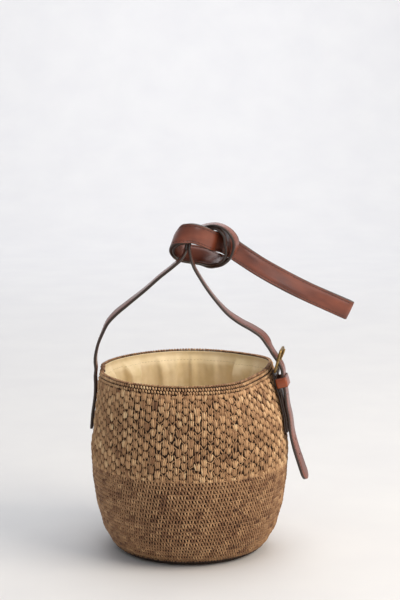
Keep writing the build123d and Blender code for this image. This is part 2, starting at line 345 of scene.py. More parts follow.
@dataclass(frozen=True)
class RaffiaFinish:
    """Natural raffia palm leaf, folded and crocheted: dry fibres from brown to straw gold."""

    name: str = "natural_raffia"
    ramp: tuple[tuple[float, str], ...] = (
        (0.0, "#432a17"), (0.25, "#80593a"), (0.5, "#ab835c"), (0.75, "#cda478"), (1.0, "#e6c79a"),
    )
    blush: str = "#8d5f4a"          # pinkish brown leaves in the mix
    fibre: float = 5.0              # fibres across half a strand
    patch_mm: float = 34.0          # size of the darker and lighter patches
    roughness: float = 0.62

    def build(self) -> bpy.types.Material:
        """Material that reads each strand's shade and its own lengthwise fibres, and paints shade towards
        each strand's underside.

        Returns:
            The material.
        """
        material, tree, shader = new_material(self.name)
        shade = add_node(tree, "ShaderNodeAttribute", attribute_name="shade")
        strand = add_node(tree, "ShaderNodeAttribute", attribute_name="strand")
        stretched = add_node(tree, "ShaderNodeVectorMath", {
            0: strand.outputs["Vector"], 1: (self.fibre, 0.7, self.fibre)}, operation="MULTIPLY")
        apart_by = add_node(tree, "ShaderNodeVectorMath", {
            0: stretched.outputs[0], 1: shade.outputs["Vector"]}, operation="ADD")
        fibres = add_node(tree, "ShaderNodeTexNoise", {
            "Vector": apart_by.outputs[0], "Scale": 1.0, "Detail": 3.0})
        place = add_node(tree, "ShaderNodeTexCoord")
        patches = add_node(tree, "ShaderNodeTexNoise", {
            "Vector": place.outputs["Object"], "Scale": 1 / (self.patch_mm * MM), "Detail": 2.0})
        fibre_part = add_node(tree, "ShaderNodeMath", {
            0: fibres.outputs["Fac"], 1: 0.55, 2: -0.27}, operation="MULTIPLY_ADD")
        patch_part = add_node(tree, "ShaderNodeMath", {
            0: patches.outputs["Fac"], 1: 0.3, 2: -0.15}, operation="MULTIPLY_ADD")
        sum_one = add_node(tree, "ShaderNodeMath", {
            0: shade.outputs["Fac"], 1: fibre_part.outputs[0]}, operation="ADD")
        sum_two = add_node(tree, "ShaderNodeMath", {
            0: sum_one.outputs[0], 1: patch_part.outputs[0]}, operation="ADD")
        ramp = add_node(tree, "ShaderNodeValToRGB", {"Fac": sum_two.outputs[0]})
        paint_ramp(ramp, self.ramp)
        blush_at = add_node(tree, "ShaderNodeTexNoise", {
            "Vector": apart_by.outputs[0], "Scale": 0.21, "Detail": 0.0})
        blush_share = add_node(tree, "ShaderNodeMapRange", {
            "Value": blush_at.outputs["Fac"], "From Min": 0.55, "From Max": 0.7, "To Max": 0.4})
        toned = add_node(tree, "ShaderNodeMix", {
            0: blush_share.outputs[0], 6: ramp.outputs["Color"], 7: linear(self.blush)}, data_type="RGBA")
        # painted shade: each strand turns dark brown towards its underside, where it meets its neighbours and
        # the shell
        parts = add_node(tree, "ShaderNodeSeparateXYZ", {0: strand.outputs["Vector"]})
        sunk = add_node(tree, "ShaderNodeMapRange", {
            "Value": parts.outputs["Z"], "From Min": -0.35, "From Max": 0.45, "To Min": 0.25})
        depth = add_node(tree, "ShaderNodeMix", {
            0: sunk.outputs[0], 6: linear("#2e1b0d"), 7: toned.outputs[2]}, data_type="RGBA")
        bump = add_node(tree, "ShaderNodeBump", {
            "Height": fibres.outputs["Fac"], "Strength": 0.6, "Distance": 0.5 * MM})
        tree.links.new(depth.outputs[2], shader.inputs["Base Color"])
        tree.links.new(bump.outputs[0], shader.inputs["Normal"])
        shader.inputs["Roughness"].default_value = self.roughness
        return material


@dataclass(frozen=True)
class ShadowFinish:
    """Painted shade for the depth of the crochet between the strands: a very dark sheet that stands for
    raffia in deep shade, with a hint of fibre.
    """

    name: str = "raffia_depth"
    dark: str = "#1e1007"
    light: str = "#3c2512"
    roughness: float = 0.85

    def build(self) -> bpy.types.Material:
        """Very dark brown painted shade, mottled at the size of a strand.

        Returns:
            The material.
        """
        material, tree, shader = new_material(self.name)
        place = add_node(tree, "ShaderNodeTexCoord")
        noise = add_node(tree, "ShaderNodeTexNoise", {
            "Vector": place.outputs["Object"], "Scale": 1 / (2.5 * MM), "Detail": 2.0})
        ramp = add_node(tree, "ShaderNodeValToRGB", {"Fac": noise.outputs["Fac"]})
        paint_ramp(ramp, ((0.35, self.dark), (0.7, self.light)))
        tree.links.new(ramp.outputs["Color"], shader.inputs["Base Color"])
        shader.inputs["Roughness"].default_value = self.roughness
        return material


@dataclass(frozen=True)
class LeatherFinish:
    """Vegetable-tanned bridle leather, burnished at the edges: warm, smooth and a little glossy."""

    name: str
    dark: str
    mid: str
    light: str
    edge: str
    half_width: float = STRAP_WIDTH / 2
    pore_mm: float = 0.7            # drawn coarser than real pores, so that they show
    cloud_mm: float = 16.0
    roughness: float = 0.36
    coat: float = 0.35

    def build(self) -> bpy.types.Material:
        """Material that reads the (along, across, height) attribute of a leather strip.

        Returns:
            The material.
        """
        material, tree, shader = new_material(self.name)
        hide = add_node(tree, "ShaderNodeAttribute", attribute_name="leather")
        drawn = add_node(tree, "ShaderNodeVectorMath", {
            0: hide.outputs["Vector"], 1: (0.4, 1.0, 1.0)}, operation="MULTIPLY")
        clouds = add_node(tree, "ShaderNodeTexNoise", {
            "Vector": drawn.outputs[0], "Scale": 1 / (self.cloud_mm * MM), "Detail": 3.0})
        ramp = add_node(tree, "ShaderNodeValToRGB", {"Fac": clouds.outputs["Fac"]})
        paint_ramp(ramp, ((0.22, self.dark), (0.5, self.mid), (0.8, self.light)))
        parts = add_node(tree, "ShaderNodeSeparateXYZ", {0: hide.outputs["Vector"]})
        side = add_node(tree, "ShaderNodeMath", {0: parts.outputs["Y"]}, operation="ABSOLUTE")
        burnish = add_node(tree, "ShaderNodeMapRange", {
            "Value": side.outputs[0], "From Min": self.half_width - 1.5 * MM,
            "From Max": self.half_width - 0.3 * MM})
        painted = add_node(tree, "ShaderNodeMix", {
            0: burnish.outputs[0], 6: ramp.outputs["Color"], 7: linear(self.edge)}, data_type="RGBA")
        # painted shade: the leather's dark colour is mixed in along the crease under each stitch line
        line = add_node(tree, "ShaderNodeMath", {
            0: side.outputs[0], 1: self.half_width - STITCH_INSET}, operation="SUBTRACT")
        near = add_node(tree, "ShaderNodeMath", {0: line.outputs[0]}, operation="ABSOLUTE")
        crease = add_node(tree, "ShaderNodeMapRange", {
            "Value": near.outputs[0], "From Max": 0.9 * MM, "To Min": 0.45, "To Max": 0.0})
        with_crease_shade = add_node(tree, "ShaderNodeMix", {
            0: crease.outputs[0], 6: painted.outputs[2], 7: linear(self.dark)}, data_type="RGBA")
        pores = add_node(tree, "ShaderNodeTexVoronoi", {
            "Vector": hide.outputs["Vector"], "Scale": 1 / (self.pore_mm * MM)})
        wrinkles = add_node(tree, "ShaderNodeTexNoise", {
            "Vector": hide.outputs["Vector"], "Scale": 1 / (5 * MM), "Detail": 5.0})
        grain = add_node(tree, "ShaderNodeMath", {
            0: pores.outputs["Distance"], 1: 0.3, 2: wrinkles.outputs["Fac"]}, operation="MULTIPLY_ADD")
        bump = add_node(tree, "ShaderNodeBump", {
            "Height": grain.outputs[0], "Strength": 0.35, "Distance": 0.35 * MM})
        rough = add_node(tree, "ShaderNodeMapRange", {
            "Value": clouds.outputs["Fac"], "From Min": 0.3, "From Max": 0.7,
            "To Min": self.roughness - 0.08, "To Max": self.roughness + 0.12})
        tree.links.new(with_crease_shade.outputs[2], shader.inputs["Base Color"])
        tree.links.new(rough.outputs[0], shader.inputs["Roughness"])
        tree.links.new(bump.outputs[0], shader.inputs["Normal"])
        shader.inputs["Coat Weight"].default_value = self.coat
        shader.inputs["Coat Roughness"].default_value = 0.3
        return material


@dataclass(frozen=True)
class ClothFinish:
    """Plain-woven unbleached cotton: matt khaki with a fine crossing of threads."""

    name: str = "khaki_cotton"
    warp: str = "#eedab5"
    weft: str = "#dcc697"
    thread_mm: float = 0.9          # drawn coarser than the real thread, so that it shows
    roughness: float = 0.85
    sheen: float = 0.25

    def build(self) -> bpy.types.Material:
        """Weave from two crossed waves on the sheet's own UV map.

        Returns:
            The material.
        """
        material, tree, shader = new_material(self.name)
        plan = add_node(tree, "ShaderNodeUVMap", uv_map="cloth")
        scale = math.pi / (self.thread_mm * MM)
        turned = add_node(tree, "ShaderNodeVectorMath", {
            0: plan.outputs["UV"], 1: (scale, scale, 1.0)}, operation="MULTIPLY")
        parts = add_node(tree, "ShaderNodeSeparateXYZ", {0: turned.outputs[0]})
        across = add_node(tree, "ShaderNodeMath", {0: parts.outputs["X"]}, operation="SINE")
        down = add_node(tree, "ShaderNodeMath", {0: parts.outputs["Y"]}, operation="SINE")
        weave = add_node(tree, "ShaderNodeMath", {
            0: across.outputs[0], 1: down.outputs[0]}, operation="MULTIPLY")
        place = add_node(tree, "ShaderNodeTexCoord")
        slub = add_node(tree, "ShaderNodeTexNoise", {
            "Vector": place.outputs["Object"], "Scale": 1 / (22 * MM), "Detail": 6.0, "Roughness": 0.65})
        tone = add_node(tree, "ShaderNodeMath", {
            0: weave.outputs[0], 1: 0.12, 2: slub.outputs["Fac"]}, operation="MULTIPLY_ADD")
        ramp = add_node(tree, "ShaderNodeValToRGB", {"Fac": tone.outputs[0]})
        paint_ramp(ramp, ((0.3, self.weft), (0.68, self.warp)))
        bump = add_node(tree, "ShaderNodeBump", {
            "Height": weave.outputs[0], "Strength": 0.25, "Distance": 0.15 * MM})
        tree.links.new(ramp.outputs["Color"], shader.inputs["Base Color"])
        tree.links.new(bump.outputs[0], shader.inputs["Normal"])
        shader.inputs["Roughness"].default_value = self.roughness
        shader.inputs["Sheen Weight"].default_value = self.sheen
        return material


@dataclass(frozen=True)
class BrassFinish:
    """Cast brass with an antique patina: warm gold on the high places, brown in the low ones."""

    name: str = "antique_brass"
    patina: str = "#4a3a22"
    worn: str = "#a68a58"
    roughness: float = 0.4

    def build(self) -> bpy.types.Material:
        """Metal whose patina follows fine scratches and tarnish spots.

        Returns:
            The material.
        """
        material, tree, shader = new_material(self.name)
        place = add_node(tree, "ShaderNodeTexCoord")
        tarnish = add_node(tree, "ShaderNodeTexNoise", {
            "Vector": place.outputs["Object"], "Scale": 1 / (4 * MM), "Detail": 5.0, "Roughness": 0.7})
        ramp = add_node(tree, "ShaderNodeValToRGB", {"Fac": tarnish.outputs["Fac"]})
        paint_ramp(ramp, ((0.34, self.patina), (0.6, self.worn)))
        rough = add_node(tree, "ShaderNodeMapRange", {
            "Value": tarnish.outputs["Fac"], "From Min": 0.3, "From Max": 0.7,
            "To Min": self.roughness + 0.2, "To Max": self.roughness - 0.08})
        bump = add_node(tree, "ShaderNodeBump", {
            "Height": tarnish.outputs["Fac"], "Strength": 0.2, "Distance": 0.2 * MM})
        tree.links.new(ramp.outputs["Color"], shader.inputs["Base Color"])
        tree.links.new(rough.outputs[0], shader.inputs["Roughness"])
        tree.links.new(bump.outputs[0], shader.inputs["Normal"])
        shader.inputs["Metallic"].default_value = 1.0
        return material


@dataclass(frozen=True)
class FibreFinish:
    """Thread, board, suede or floor: a matt surface with mottling of one size."""

    name: str
    dark: str
    light: str
    grain_mm: float
    roughness: float = 0.7
    bump: float = 0.3

    def build(self) -> bpy.types.Material:
        """Two colours mottled by noise, with a bump of the same size.

        Returns:
            The material.
        """
        material, tree, shader = new_material(self.name)
        place = add_node(tree, "ShaderNodeTexCoord")
        noise = add_node(tree, "ShaderNodeTexNoise", {
            "Vector": place.outputs["Object"], "Scale": 1 / (self.grain_mm * MM), "Detail": 4.0})
        ramp = add_node(tree, "ShaderNodeValToRGB", {"Fac": noise.outputs["Fac"]})
        paint_ramp(ramp, ((0.3, self.dark), (0.7, self.light)))
        bump = add_node(tree, "ShaderNodeBump", {
            "Height": noise.outputs["Fac"], "Strength": self.bump, "Distance": self.grain_mm * MM * 0.2})
        tree.links.new(ramp.outputs["Color"], shader.inputs["Base Color"])
        tree.links.new(bump.outputs[0], shader.inputs["Normal"])
        shader.inputs["Roughness"].default_value = self.roughness
        return material


@dataclass
class Finishes:
    """All materials of the bag, each built once."""

    raffia: bpy.types.Material = field(default_factory=lambda: RaffiaFinish().build())
    depth: bpy.types.Material = field(default_factory=lambda: ShadowFinish().build())
    cotton: bpy.types.Material = field(default_factory=lambda: ClothFinish().build())
    brass: bpy.types.Material = field(default_factory=lambda: BrassFinish().build())
    strap: bpy.types.Material = field(default_factory=lambda: LeatherFinish(
        "chestnut_bridle_leather", "#4e2416", "#743a26", "#8f4b34", "#2c1e16").build())
    chape: bpy.types.Material = field(default_factory=lambda: LeatherFinish(
        "dark_bridle_leather", "#3b2219", "#5d3826", "#74492f", "#2a1c15").build())
    keeper: bpy.types.Material = field(default_factory=lambda: LeatherFinish(
        "tan_keeper_leather", "#64280c", "#86380f", "#a04c1c", "#45200d",
        half_width=6.5 * MM, roughness=0.3).build())
    waxed_thread: bpy.types.Material = field(default_factory=lambda: FibreFinish(
        "waxed_linen_thread", "#140d0a", "#2a1c15", 0.6, 0.5).build())
    hem_thread: bpy.types.Material = field(default_factory=lambda: FibreFinish(
        "cotton_thread", "#a8936a", "#cdb98c", 0.5, 0.75).build())
    board: bpy.types.Material = field(default_factory=lambda: FibreFinish(
        "grey_fibreboard", "#77736c", "#9b968c", 1.5, 0.9).build())
    suede: bpy.types.Material = field(default_factory=lambda: FibreFinish(
        "suede_backing", "#6b4630", "#8d6244", 1.2, 0.95).build())


# ---------------------------------------------------------------- the bag's shape

@dataclass
class BagForm:
    """Outer surface of the crochet: the frame's round rings, softened the way the bag stands."""

    mouth: Around = Around((
        (180, 1.0), (205, 4.5), (233, 8.0), (248, 5.4), (270, 2.0), (292, -1.0), (308, -3.7),
        (325, -7.3), (350, -2.4), (10, 0.8), (50, 2.0), (90, 2.0), (135, 1.7)))
    rim_lift: Around = Around((
        (180, 0.0), (233, -0.5), (270, -2.0), (315, -1.0), (340, 2.0), (358, 6.0), (15, 5.5),
        (45, 3.0), (90, 2.5), (135, 1.5)))
    slack_from: float = 150 * MM    # the mouth's uneven outline starts here
    buckle_azimuth: float = -10.0
    sewn_half: float = 7.5          # half the sewn leather's width, degrees
    pressed: float = 1.3 * MM       # how far the leather presses the crochet in
    rings: np.ndarray = field(init=False)
    path: np.ndarray = field(init=False)
    run: np.ndarray = field(init=False)

    def __post_init__(self) -> None:
        """Read the rings and lay the outline from the base's centre to the rim."""
        self.rings = self.read_rings()
        height, radius = self.rings[:, 0], self.rings[:, 1]
        flat = [(share * radius[0], 0.0) for share in (0.0, 0.4, 0.8, 0.93)]
        self.path = np.array(flat + list(zip(radius, height)))
        self.run = np.concatenate([[0], np.cumsum(np.linalg.norm(np.diff(self.path, axis=0), axis=1))])

    @staticmethod
    def read_rings() -> np.ndarray:
        """Height, radius and centre of each outer ring of the four crochet nodes.

        Returns:
            One row of height, radius and centre for each ring, rising.
        """
        found = {}
        for name in ("crochet_base", "crochet_lower_wall", "crochet_upper_wall", "crochet_rim"):
            points = np.array([v.co for v in frame["nodes"][name].data.vertices])
            for level in np.unique(np.round(points[:, 2], 4)):
                ring = points[np.abs(points[:, 2] - level) < 0.00006][:, :2]
                middle = (ring.max(0) + ring.min(0)) / 2
                away = np.linalg.norm(ring - middle, axis=1)
                outer = ring[away > 0.975 * away.max()]
                turn = np.unique(np.round(np.degrees(np.arctan2(*(outer - middle).T)) / 15))
                if len(turn) < 21 or away.max() < 0.07:
                    continue
                grid = np.c_[2 * outer, np.ones(len(outer))]
                x, y, rest = np.linalg.lstsq(grid, (outer ** 2).sum(1), rcond=None)[0]
                found[level] = (level, math.sqrt(rest + x * x + y * y), x, y)
        return np.array([found[level] for level in sorted(found)])

    def run_at(self, height: float) -> float:
        """Distance along the outline at a height above the base's turn."""
        walls = self.path[4:, 1]
        return float(np.interp(height, walls, self.run[4:]))

    def reach(self, azimuth: float, height: float) -> float:
        """The frame's distance from the vertical axis to the outside, azimuth in degrees.

        Args:
            azimuth: Direction in degrees.
            height: Height above the floor.

        Returns:
            The distance.
        """
        height_of, radius, x, y = self.rings.T
        turn = math.radians(azimuth)
        middle = np.interp(height, height_of, x) * math.cos(turn)
        middle = middle + np.interp(height, height_of, y) * math.sin(turn)
        return float(np.interp(height, height_of, radius) + middle)

    def give(self, azimuth: np.ndarray, height: np.ndarray) -> np.ndarray:
        """How far the soft wall stands out from the frame's rings.

        Args:
            azimuth: Directions round the bag, in radians.
            height: Height of each point.

        Returns:
            Distances outwards, negative where the wall is pressed in.
        """
        top = self.rings[-1, 0]
        slack = eased((height - self.slack_from) / (top - self.slack_from))
        soft = eased(height / (60 * MM))
        waves = 0.9 * np.sin(3 * azimuth + 1.1 + height / 0.06) + 0.6 * np.sin(5 * azimuth - height / 0.035)
        out = (self.mouth.at(azimuth) * slack + waves * soft) * MM
        for centre in (180.0, self.buckle_azimuth):
            near = 1 - eased((np.abs(apart(azimuth, centre)) - self.sewn_half) / 4)
            near = near * eased((height - 0.142) / 0.008)
            out = out * (1 - near) + np.minimum(out, -self.pressed) * near
        return out

    def place(self, azimuth: np.ndarray, along: np.ndarray) -> np.ndarray:
        """Points on the outside, by direction in radians and distance along the outline.

        Args:
            azimuth: Directions round the bag, in radians.
            along: Distances along the outline from the base's centre.

        Returns:
            One point for each direction.
        """
        radius, height = smooth_run(self.run, self.path, along).T
        height = np.maximum(height, 0.0)
        ring_height, _, x, y = self.rings.T
        middle_x, middle_y = np.interp(height, ring_height, x), np.interp(height, ring_height, y)
        out = radius + middle_x * np.cos(azimuth) + middle_y * np.sin(azimuth) + self.give(azimuth, height)
        raised = height + self.rim_lift.at(azimuth) * MM * eased((height - 0.17) / 0.056)
        return np.c_[out * np.cos(azimuth), out * np.sin(azimuth), raised]

    def local(self, azimuth: np.ndarray, along: np.ndarray) -> tuple[np.ndarray, np.ndarray, np.ndarray]:
        """Points on the outside with the outward and the rising direction at each.

        Args:
            azimuth: Directions round the bag, in radians.
            along: Distances along the outline from the base's centre.

        Returns:
            The points, the outward directions and the rising directions.
        """
        turn, step = 0.004, 0.4 * MM
        east = self.place(azimuth + turn, along) - self.place(azimuth - turn, along)
        rising = unit(self.place(azimuth, along + step) - self.place(azimuth, along - step))
        return self.place(azimuth, along), unit(np.cross(east, rising)), rising


# ---------------------------------------------------------------- repeated strands and threads

@dataclass
class Spots:
    """Places of repeated pieces."""

    points: np.ndarray
    facing: np.ndarray
    rising: np.ndarray
    size: np.ndarray
    turn: np.ndarray
    shade: np.ndarray

    @classmethod
    def gathered(cls, groups: Sequence["Spots"]) -> "Spots":
        """All spots of several groups."""
        return cls(*(np.concatenate([getattr(group, part.name) for group in groups]) for part in fields(cls)))


class StrandShape(Enum):
    """Rings and sides of the strand that is repeated."""

    POST = (4, 6)
    LEG = (3, 5)
    BAR = (2, 5)
    THREAD = (2, 6)

    def build(self) -> bpy.types.Object:
        """Closed strand of half-size 1 along Y, with its own coordinates stored.

        Returns:
            The strand.
        """
        rings, sides = self.value
        rows = []
        for i in range(rings):
            y = -0.82 + 1.64 * i / (rings - 1)
            swell = (1 - abs(y) ** 3.2) ** 0.5
            for j in range(sides):
                turn = 2 * math.pi * (j + 0.5) / sides
                rows.append((swell * math.cos(turn), y, swell * math.sin(turn)))
        points = np.array(rows + [(0, -1, 0), (0, 1, 0)])
        faces = [face[::-1] for face in tube_faces(rings, sides, capped=False)]
        last = (rings - 1) * sides
        for j in range(sides):
            k = (j + 1) % sides
            faces.append([j, k, len(points) - 2])
            faces.append([last + k, last + j, len(points) - 1])
        strand = make_object("strand_" + self.name.lower(), points, faces)
        store(strand.data, "strand", points)
        return strand


@dataclass
class StrandGrower:
    """Geometry node tree that sets one strand on every spot."""

    tree: bpy.types.NodeTree = field(init=False)

    def __post_init__(self) -> None:
        """Build the tree and its named inputs."""
        tree = bpy.data.node_groups.new("strands_on_spots", "GeometryNodeTree")
        for name, kind in (("Spots", "NodeSocketGeometry"), ("Strand", "NodeSocketObject"),
                           ("Half Size", "NodeSocketVector"), ("Wobble", "NodeSocketFloat"),
                           ("Uneven", "NodeSocketFloat"), ("Seed", "NodeSocketInt"),
                           ("Finish", "NodeSocketMaterial")):
            tree.interface.new_socket(name, in_out="INPUT", socket_type=kind)
        tree.interface.new_socket("Strands", in_out="OUTPUT", socket_type="NodeSocketGeometry")
        given = add_node(tree, "NodeGroupInput")
        read = {}
        for name, kind in (("facing", "FLOAT_VECTOR"), ("rising", "FLOAT_VECTOR"),
                           ("size", "FLOAT_VECTOR"), ("turn", "FLOAT")):
            node = add_node(tree, "GeometryNodeInputNamedAttribute", {"Name": name}, data_type=kind)
            read[name] = node.outputs["Attribute"]
        axes = add_node(tree, "FunctionNodeAxesToRotation", {
            "Primary Axis": read["facing"], "Secondary Axis": read["rising"]},
            primary_axis="Z", secondary_axis="Y")
        minus = add_node(tree, "ShaderNodeMath", {
            0: given.outputs["Wobble"], 1: -1.0}, operation="MULTIPLY")
        wobble = add_node(tree, "FunctionNodeRandomValue", {
            2: minus.outputs[0], 3: given.outputs["Wobble"], "Seed": given.outputs["Seed"]},
            data_type="FLOAT")
        angle = add_node(tree, "ShaderNodeMath", {
            0: wobble.outputs[1], 1: read["turn"]}, operation="ADD")
        euler = add_node(tree, "ShaderNodeCombineXYZ", {"Z": angle.outputs[0]})
        turned = add_node(tree, "FunctionNodeEulerToRotation", {"Euler": euler.outputs[0]})
        rotation = add_node(tree, "FunctionNodeRotateRotation", {
            "Rotation": axes.outputs[0], "Rotate By": turned.outputs[0]}, rotation_space="LOCAL")
        low = add_node(tree, "ShaderNodeMath", {0: 1.0, 1: given.outputs["Uneven"]}, operation="SUBTRACT")
        high = add_node(tree, "ShaderNodeMath", {0: 1.0, 1: given.outputs["Uneven"]}, operation="ADD")
        next_seed = add_node(tree, "ShaderNodeMath", {0: given.outputs["Seed"], 1: 1.0}, operation="ADD")
        uneven = add_node(tree, "FunctionNodeRandomValue", {
            2: low.outputs[0], 3: high.outputs[0], "Seed": next_seed.outputs[0]}, data_type="FLOAT")
        sized = add_node(tree, "ShaderNodeVectorMath", {
            0: given.outputs["Half Size"], 1: read["size"]}, operation="MULTIPLY")
        scale = add_node(tree, "ShaderNodeVectorMath", {
            0: sized.outputs[0], "Scale": uneven.outputs[1]}, operation="SCALE")
        strand = add_node(tree, "GeometryNodeObjectInfo", {
            "Object": given.outputs["Strand"], "As Instance": True})
        instances = add_node(tree, "GeometryNodeInstanceOnPoints", {
            "Points": given.outputs["Spots"], "Instance": strand.outputs["Geometry"],
            "Rotation": rotation.outputs[0], "Scale": scale.outputs[0]})
        real = add_node(tree, "GeometryNodeRealizeInstances", {0: instances.outputs[0]})
        finish = add_node(tree, "GeometryNodeSetMaterial", {
            "Geometry": real.outputs[0], "Material": given.outputs["Finish"]})
        add_node(tree, "NodeGroupOutput", {0: finish.outputs[0]})
        self.tree = tree

    def grow(self, name: str, spots: Spots, shape: StrandShape, half_size: tuple[float, float, float],
             finish: bpy.types.Material, wobble: float = 0.0, uneven: float = 0.0,
             seed: int = 1) -> bpy.types.Object:
        """Grow strands on spots as one plain mesh.

        Args:
            name: Name of the new object.
            spots: Where the strands go.
            shape: Strand that is repeated.
            half_size: Half its width, length and depth.
            finish: Material of the strands.
            wobble: Largest random turn, in radians.
            uneven: Largest random change of size, as a share.
            seed: Seed of the random turns and sizes.

        Returns:
            The object, with no modifier left.
        """
        carrier = make_object(name, spots.points)
        for part in ("facing", "rising", "size", "turn", "shade"):
            store(carrier.data, part, getattr(spots, part))
        strand = shape.build()
        modifier = carrier.modifiers.new("strands", "NODES")
        modifier.node_group = self.tree
        values = {"Strand": strand, "Half Size": half_size, "Wobble": wobble, "Uneven": uneven,
                  "Seed": seed, "Finish": finish}
        for item in self.tree.interface.items_tree:
            if item.in_out == "INPUT" and item.name in values:
                modifier[item.identifier] = values[item.name]
        finished(carrier)
        carrier.data.name = name
        for polygon in carrier.data.polygons:
            polygon.use_smooth = True
        drop(strand)
        return carrier


# ---------------------------------------------------------------- crochet

@dataclass
class Crochet:
    """Raffia crochet of the bag: four zones of strands over a dark inner shell of painted shade."""

    form: BagForm
    grower: StrandGrower
    finishes: Finishes
    stitches_round: int = 96
    tight_row: float = 5.2 * MM
    post_row: float = 5.6 * MM
    base_top: float = 12 * MM
    stitch_change: float = 112 * MM
    rim_bottom: float = 216.6 * MM
    rim_row: float = 4.3 * MM
    leg: tuple[float, float, float] = (1.35 * MM, 2.75 * MM, 1.7 * MM)
    bar: tuple[float, float, float] = (1.3 * MM, 2.15 * MM, 1.6 * MM)
    post: tuple[float, float, float] = (1.15 * MM, 4.8 * MM, 1.9 * MM)
    slant: float = 0.24             # single crochet leans a little, in radians
    random: np.random.Generator = field(default_factory=lambda: np.random.default_rng(7))

    def spots(self, azimuth: np.ndarray, along: np.ndarray, sink: float, shade: np.ndarray,
              turn: np.ndarray, size: np.ndarray | None = None) -> Spots:
        """Spots on the surface, sunk into it by a distance.

        Args:
            azimuth: Directions round the bag, in radians.
            along: Distances along the outline from the base's centre.
            sink: Depth of the strands' middles under the surface.
            shade: Shade of each strand.
            turn: Lean of each strand, in radians.
            size: Scale of each strand in three directions; 1 without it.

        Returns:
            The spots.
        """
        points, facing, rising = self.form.local(azimuth, along)
        if size is None:
            size = np.ones((len(points), 3))
        return Spots(points - facing * sink, facing, rising, size, turn, shade)

    def shades(self, count: int, middle: float = 0.47, spread: float = 0.1) -> np.ndarray:
        """Random shade of each stitch, from 0 dark to 1 pale."""
        return np.clip(self.random.normal(middle, spread, count), 0.05, 0.98)

    def tight_rows(self, rows: Sequence[float], counts: Sequence[int],
                   middle: float = 0.44) -> tuple[Spots, Spots]:
        """Legs and bars of single crochet rows, sunk deeper where the base meets the floor and painted paler
        there as painted bounce light.

        Args:
            rows: Distance along the outline of each row.
            counts: Stitches in each row.
            middle: Middle shade of the rows.

        Returns:
            Spots of the legs and of the bars.
        """
        legs, bars = [], []
        for number, (along, count) in enumerate(zip(rows, counts)):
            height = float(np.interp(along, self.form.run, self.form.path[:, 1]))
            sink = (1.9 - 1.2 * float(eased(np.array(height / (5 * MM))))) * MM
            pitch = 2 * math.pi / count
            start = pitch * (np.arange(count) + 0.13 * number)
            drift = 0.5 * MM * np.sin(2 * start + number)
            # painted light: rows near the floor are up to 0.3 paler, standing in for light bounced from the
            # floor
            shade = self.shades(count, middle + 0.3 * float(1 - eased(np.array(height / (8 * MM)))))
            radius = float(np.interp(along, self.form.run, self.form.path[:, 0]))
            wide = pitch * radius / (7.6 * MM)
            size = np.tile((max(wide, 0.55), 1.0, 1.0), (count, 1))
            lean = self.random.normal(self.slant, 0.12, count)
            for side in (-1, 1):
                near = self.random.normal(0, 0.04, count)
                legs.append(self.spots(start + side * pitch * 0.235, along + drift, sink, shade + near,
                                       lean + side * -0.2, size))
                level = along + drift + self.tight_row / 2
                # painted shade: the bars lie 0.25 mm deeper between the legs and are 0.04 darker
                bars.append(self.spots(start + pitch * (0.25 + side * 0.25), level, sink + 0.25 * MM,
                                       shade + near - 0.04, np.full(count, math.pi / 2 + 0.3),
                                       size[:, [1, 0, 2]]))
        return Spots.gathered(legs), Spots.gathered(bars)

    def shell(self, name: str, runs: np.ndarray, out: float = 2.6 * MM,
              inner: float = 5.0 * MM) -> bpy.types.Object:
        """Closed dark shell inside the strands, between two depths: painted shade that shows in the gaps.

        Args:
            name: Name of the shell.
            runs: Distances along the outline.
            out: Depth of its outside.
            inner: Depth of its inside.

        Returns:
            The shell.
        """
        around = 144
        azimuth = np.linspace(0, 2 * math.pi, around, endpoint=False)
        loops = []
        for runs_of, sink in ((runs, out), (runs[::-1], inner)):
            for along in runs_of:
                points, facing, _ = self.form.local(azimuth, np.full(around, along))
                loops.append(points - facing * sink)
        rings = np.array(loops).transpose(1, 0, 2).reshape(-1, 3)
        shell = make_object(name, rings, tube_faces(around, len(loops), closed=True), self.finishes.depth)
        outward(shell)
        return shell

    def base(self) -> None:
        """Rounds of the base, out to the turn into the wall."""
        end = self.form.run_at(self.base_top)
        rows = np.linspace(4.5 * MM, end - 1.5 * MM, round(end / (4.8 * MM)))
        counts = [max(6, round(2 * math.pi * min(along, 0.098) / (7.6 * MM))) for along in rows]
        legs, bars = self.tight_rows(rows, counts)
        piece = self.grower.grow("crochet_base", legs, StrandShape.LEG, self.leg, self.finishes.raffia,
                                 0.12, 0.08, 3)
        tied = self.grower.grow("base_bars", bars, StrandShape.BAR, self.bar, self.finishes.raffia,
                                0.1, 0.08, 4)
        runs = np.linspace(2 * MM, end + 2 * MM, 24)
        self.keep(joined([piece, tied, self.base_shell(runs)]), "crochet_base", "raffia_tight")

    def base_shell(self, runs: np.ndarray) -> bpy.types.Object:
        """Dark shell of the base, closed at its centre: painted shade that shows between the strands.

        Args:
            runs: Distances along the outline.

        Returns:
            The shell.
        """
        around = 96
        azimuth = np.linspace(0, 2 * math.pi, around, endpoint=False)
        loops = []
        for runs_of, sink in ((runs, 3.0 * MM), (runs[::-1], 4.8 * MM)):
            for along in runs_of:
                points, facing, _ = self.form.local(azimuth, np.full(around, along))
                loops.append(points - facing * sink)
        shell = make_object("base_shell", np.array(loops).reshape(-1, 3),
                            tube_faces(len(loops), around), self.finishes.depth)
        outward(shell)
        return shell

    def lower_wall(self) -> None:
        """Tight single crochet from the base to the change of stitch."""
        start, end = self.form.run_at(self.base_top), self.form.run_at(self.stitch_change)
        count = round((end - start) / self.tight_row)
        rows = start + (np.arange(count) + 0.6) * (end - start) / count
        legs, bars = self.tight_rows(rows, [self.stitches_round] * count)
        piece = self.grower.grow("crochet_lower_wall", legs, StrandShape.LEG, self.leg,
                                 self.finishes.raffia, 0.13, 0.09, 5)
        piece = joined([piece, self.shell("lower_shell", np.linspace(start, end, 22))])
        self.keep(piece, "crochet_lower_wall", "raffia_tight")
        tied = self.grower.grow("crochet_lower_rounds", bars, StrandShape.BAR, self.bar,
                                self.finishes.raffia, 0.1, 0.09, 6)
        self.keep(tied, "crochet_lower_wall", "raffia_tight")

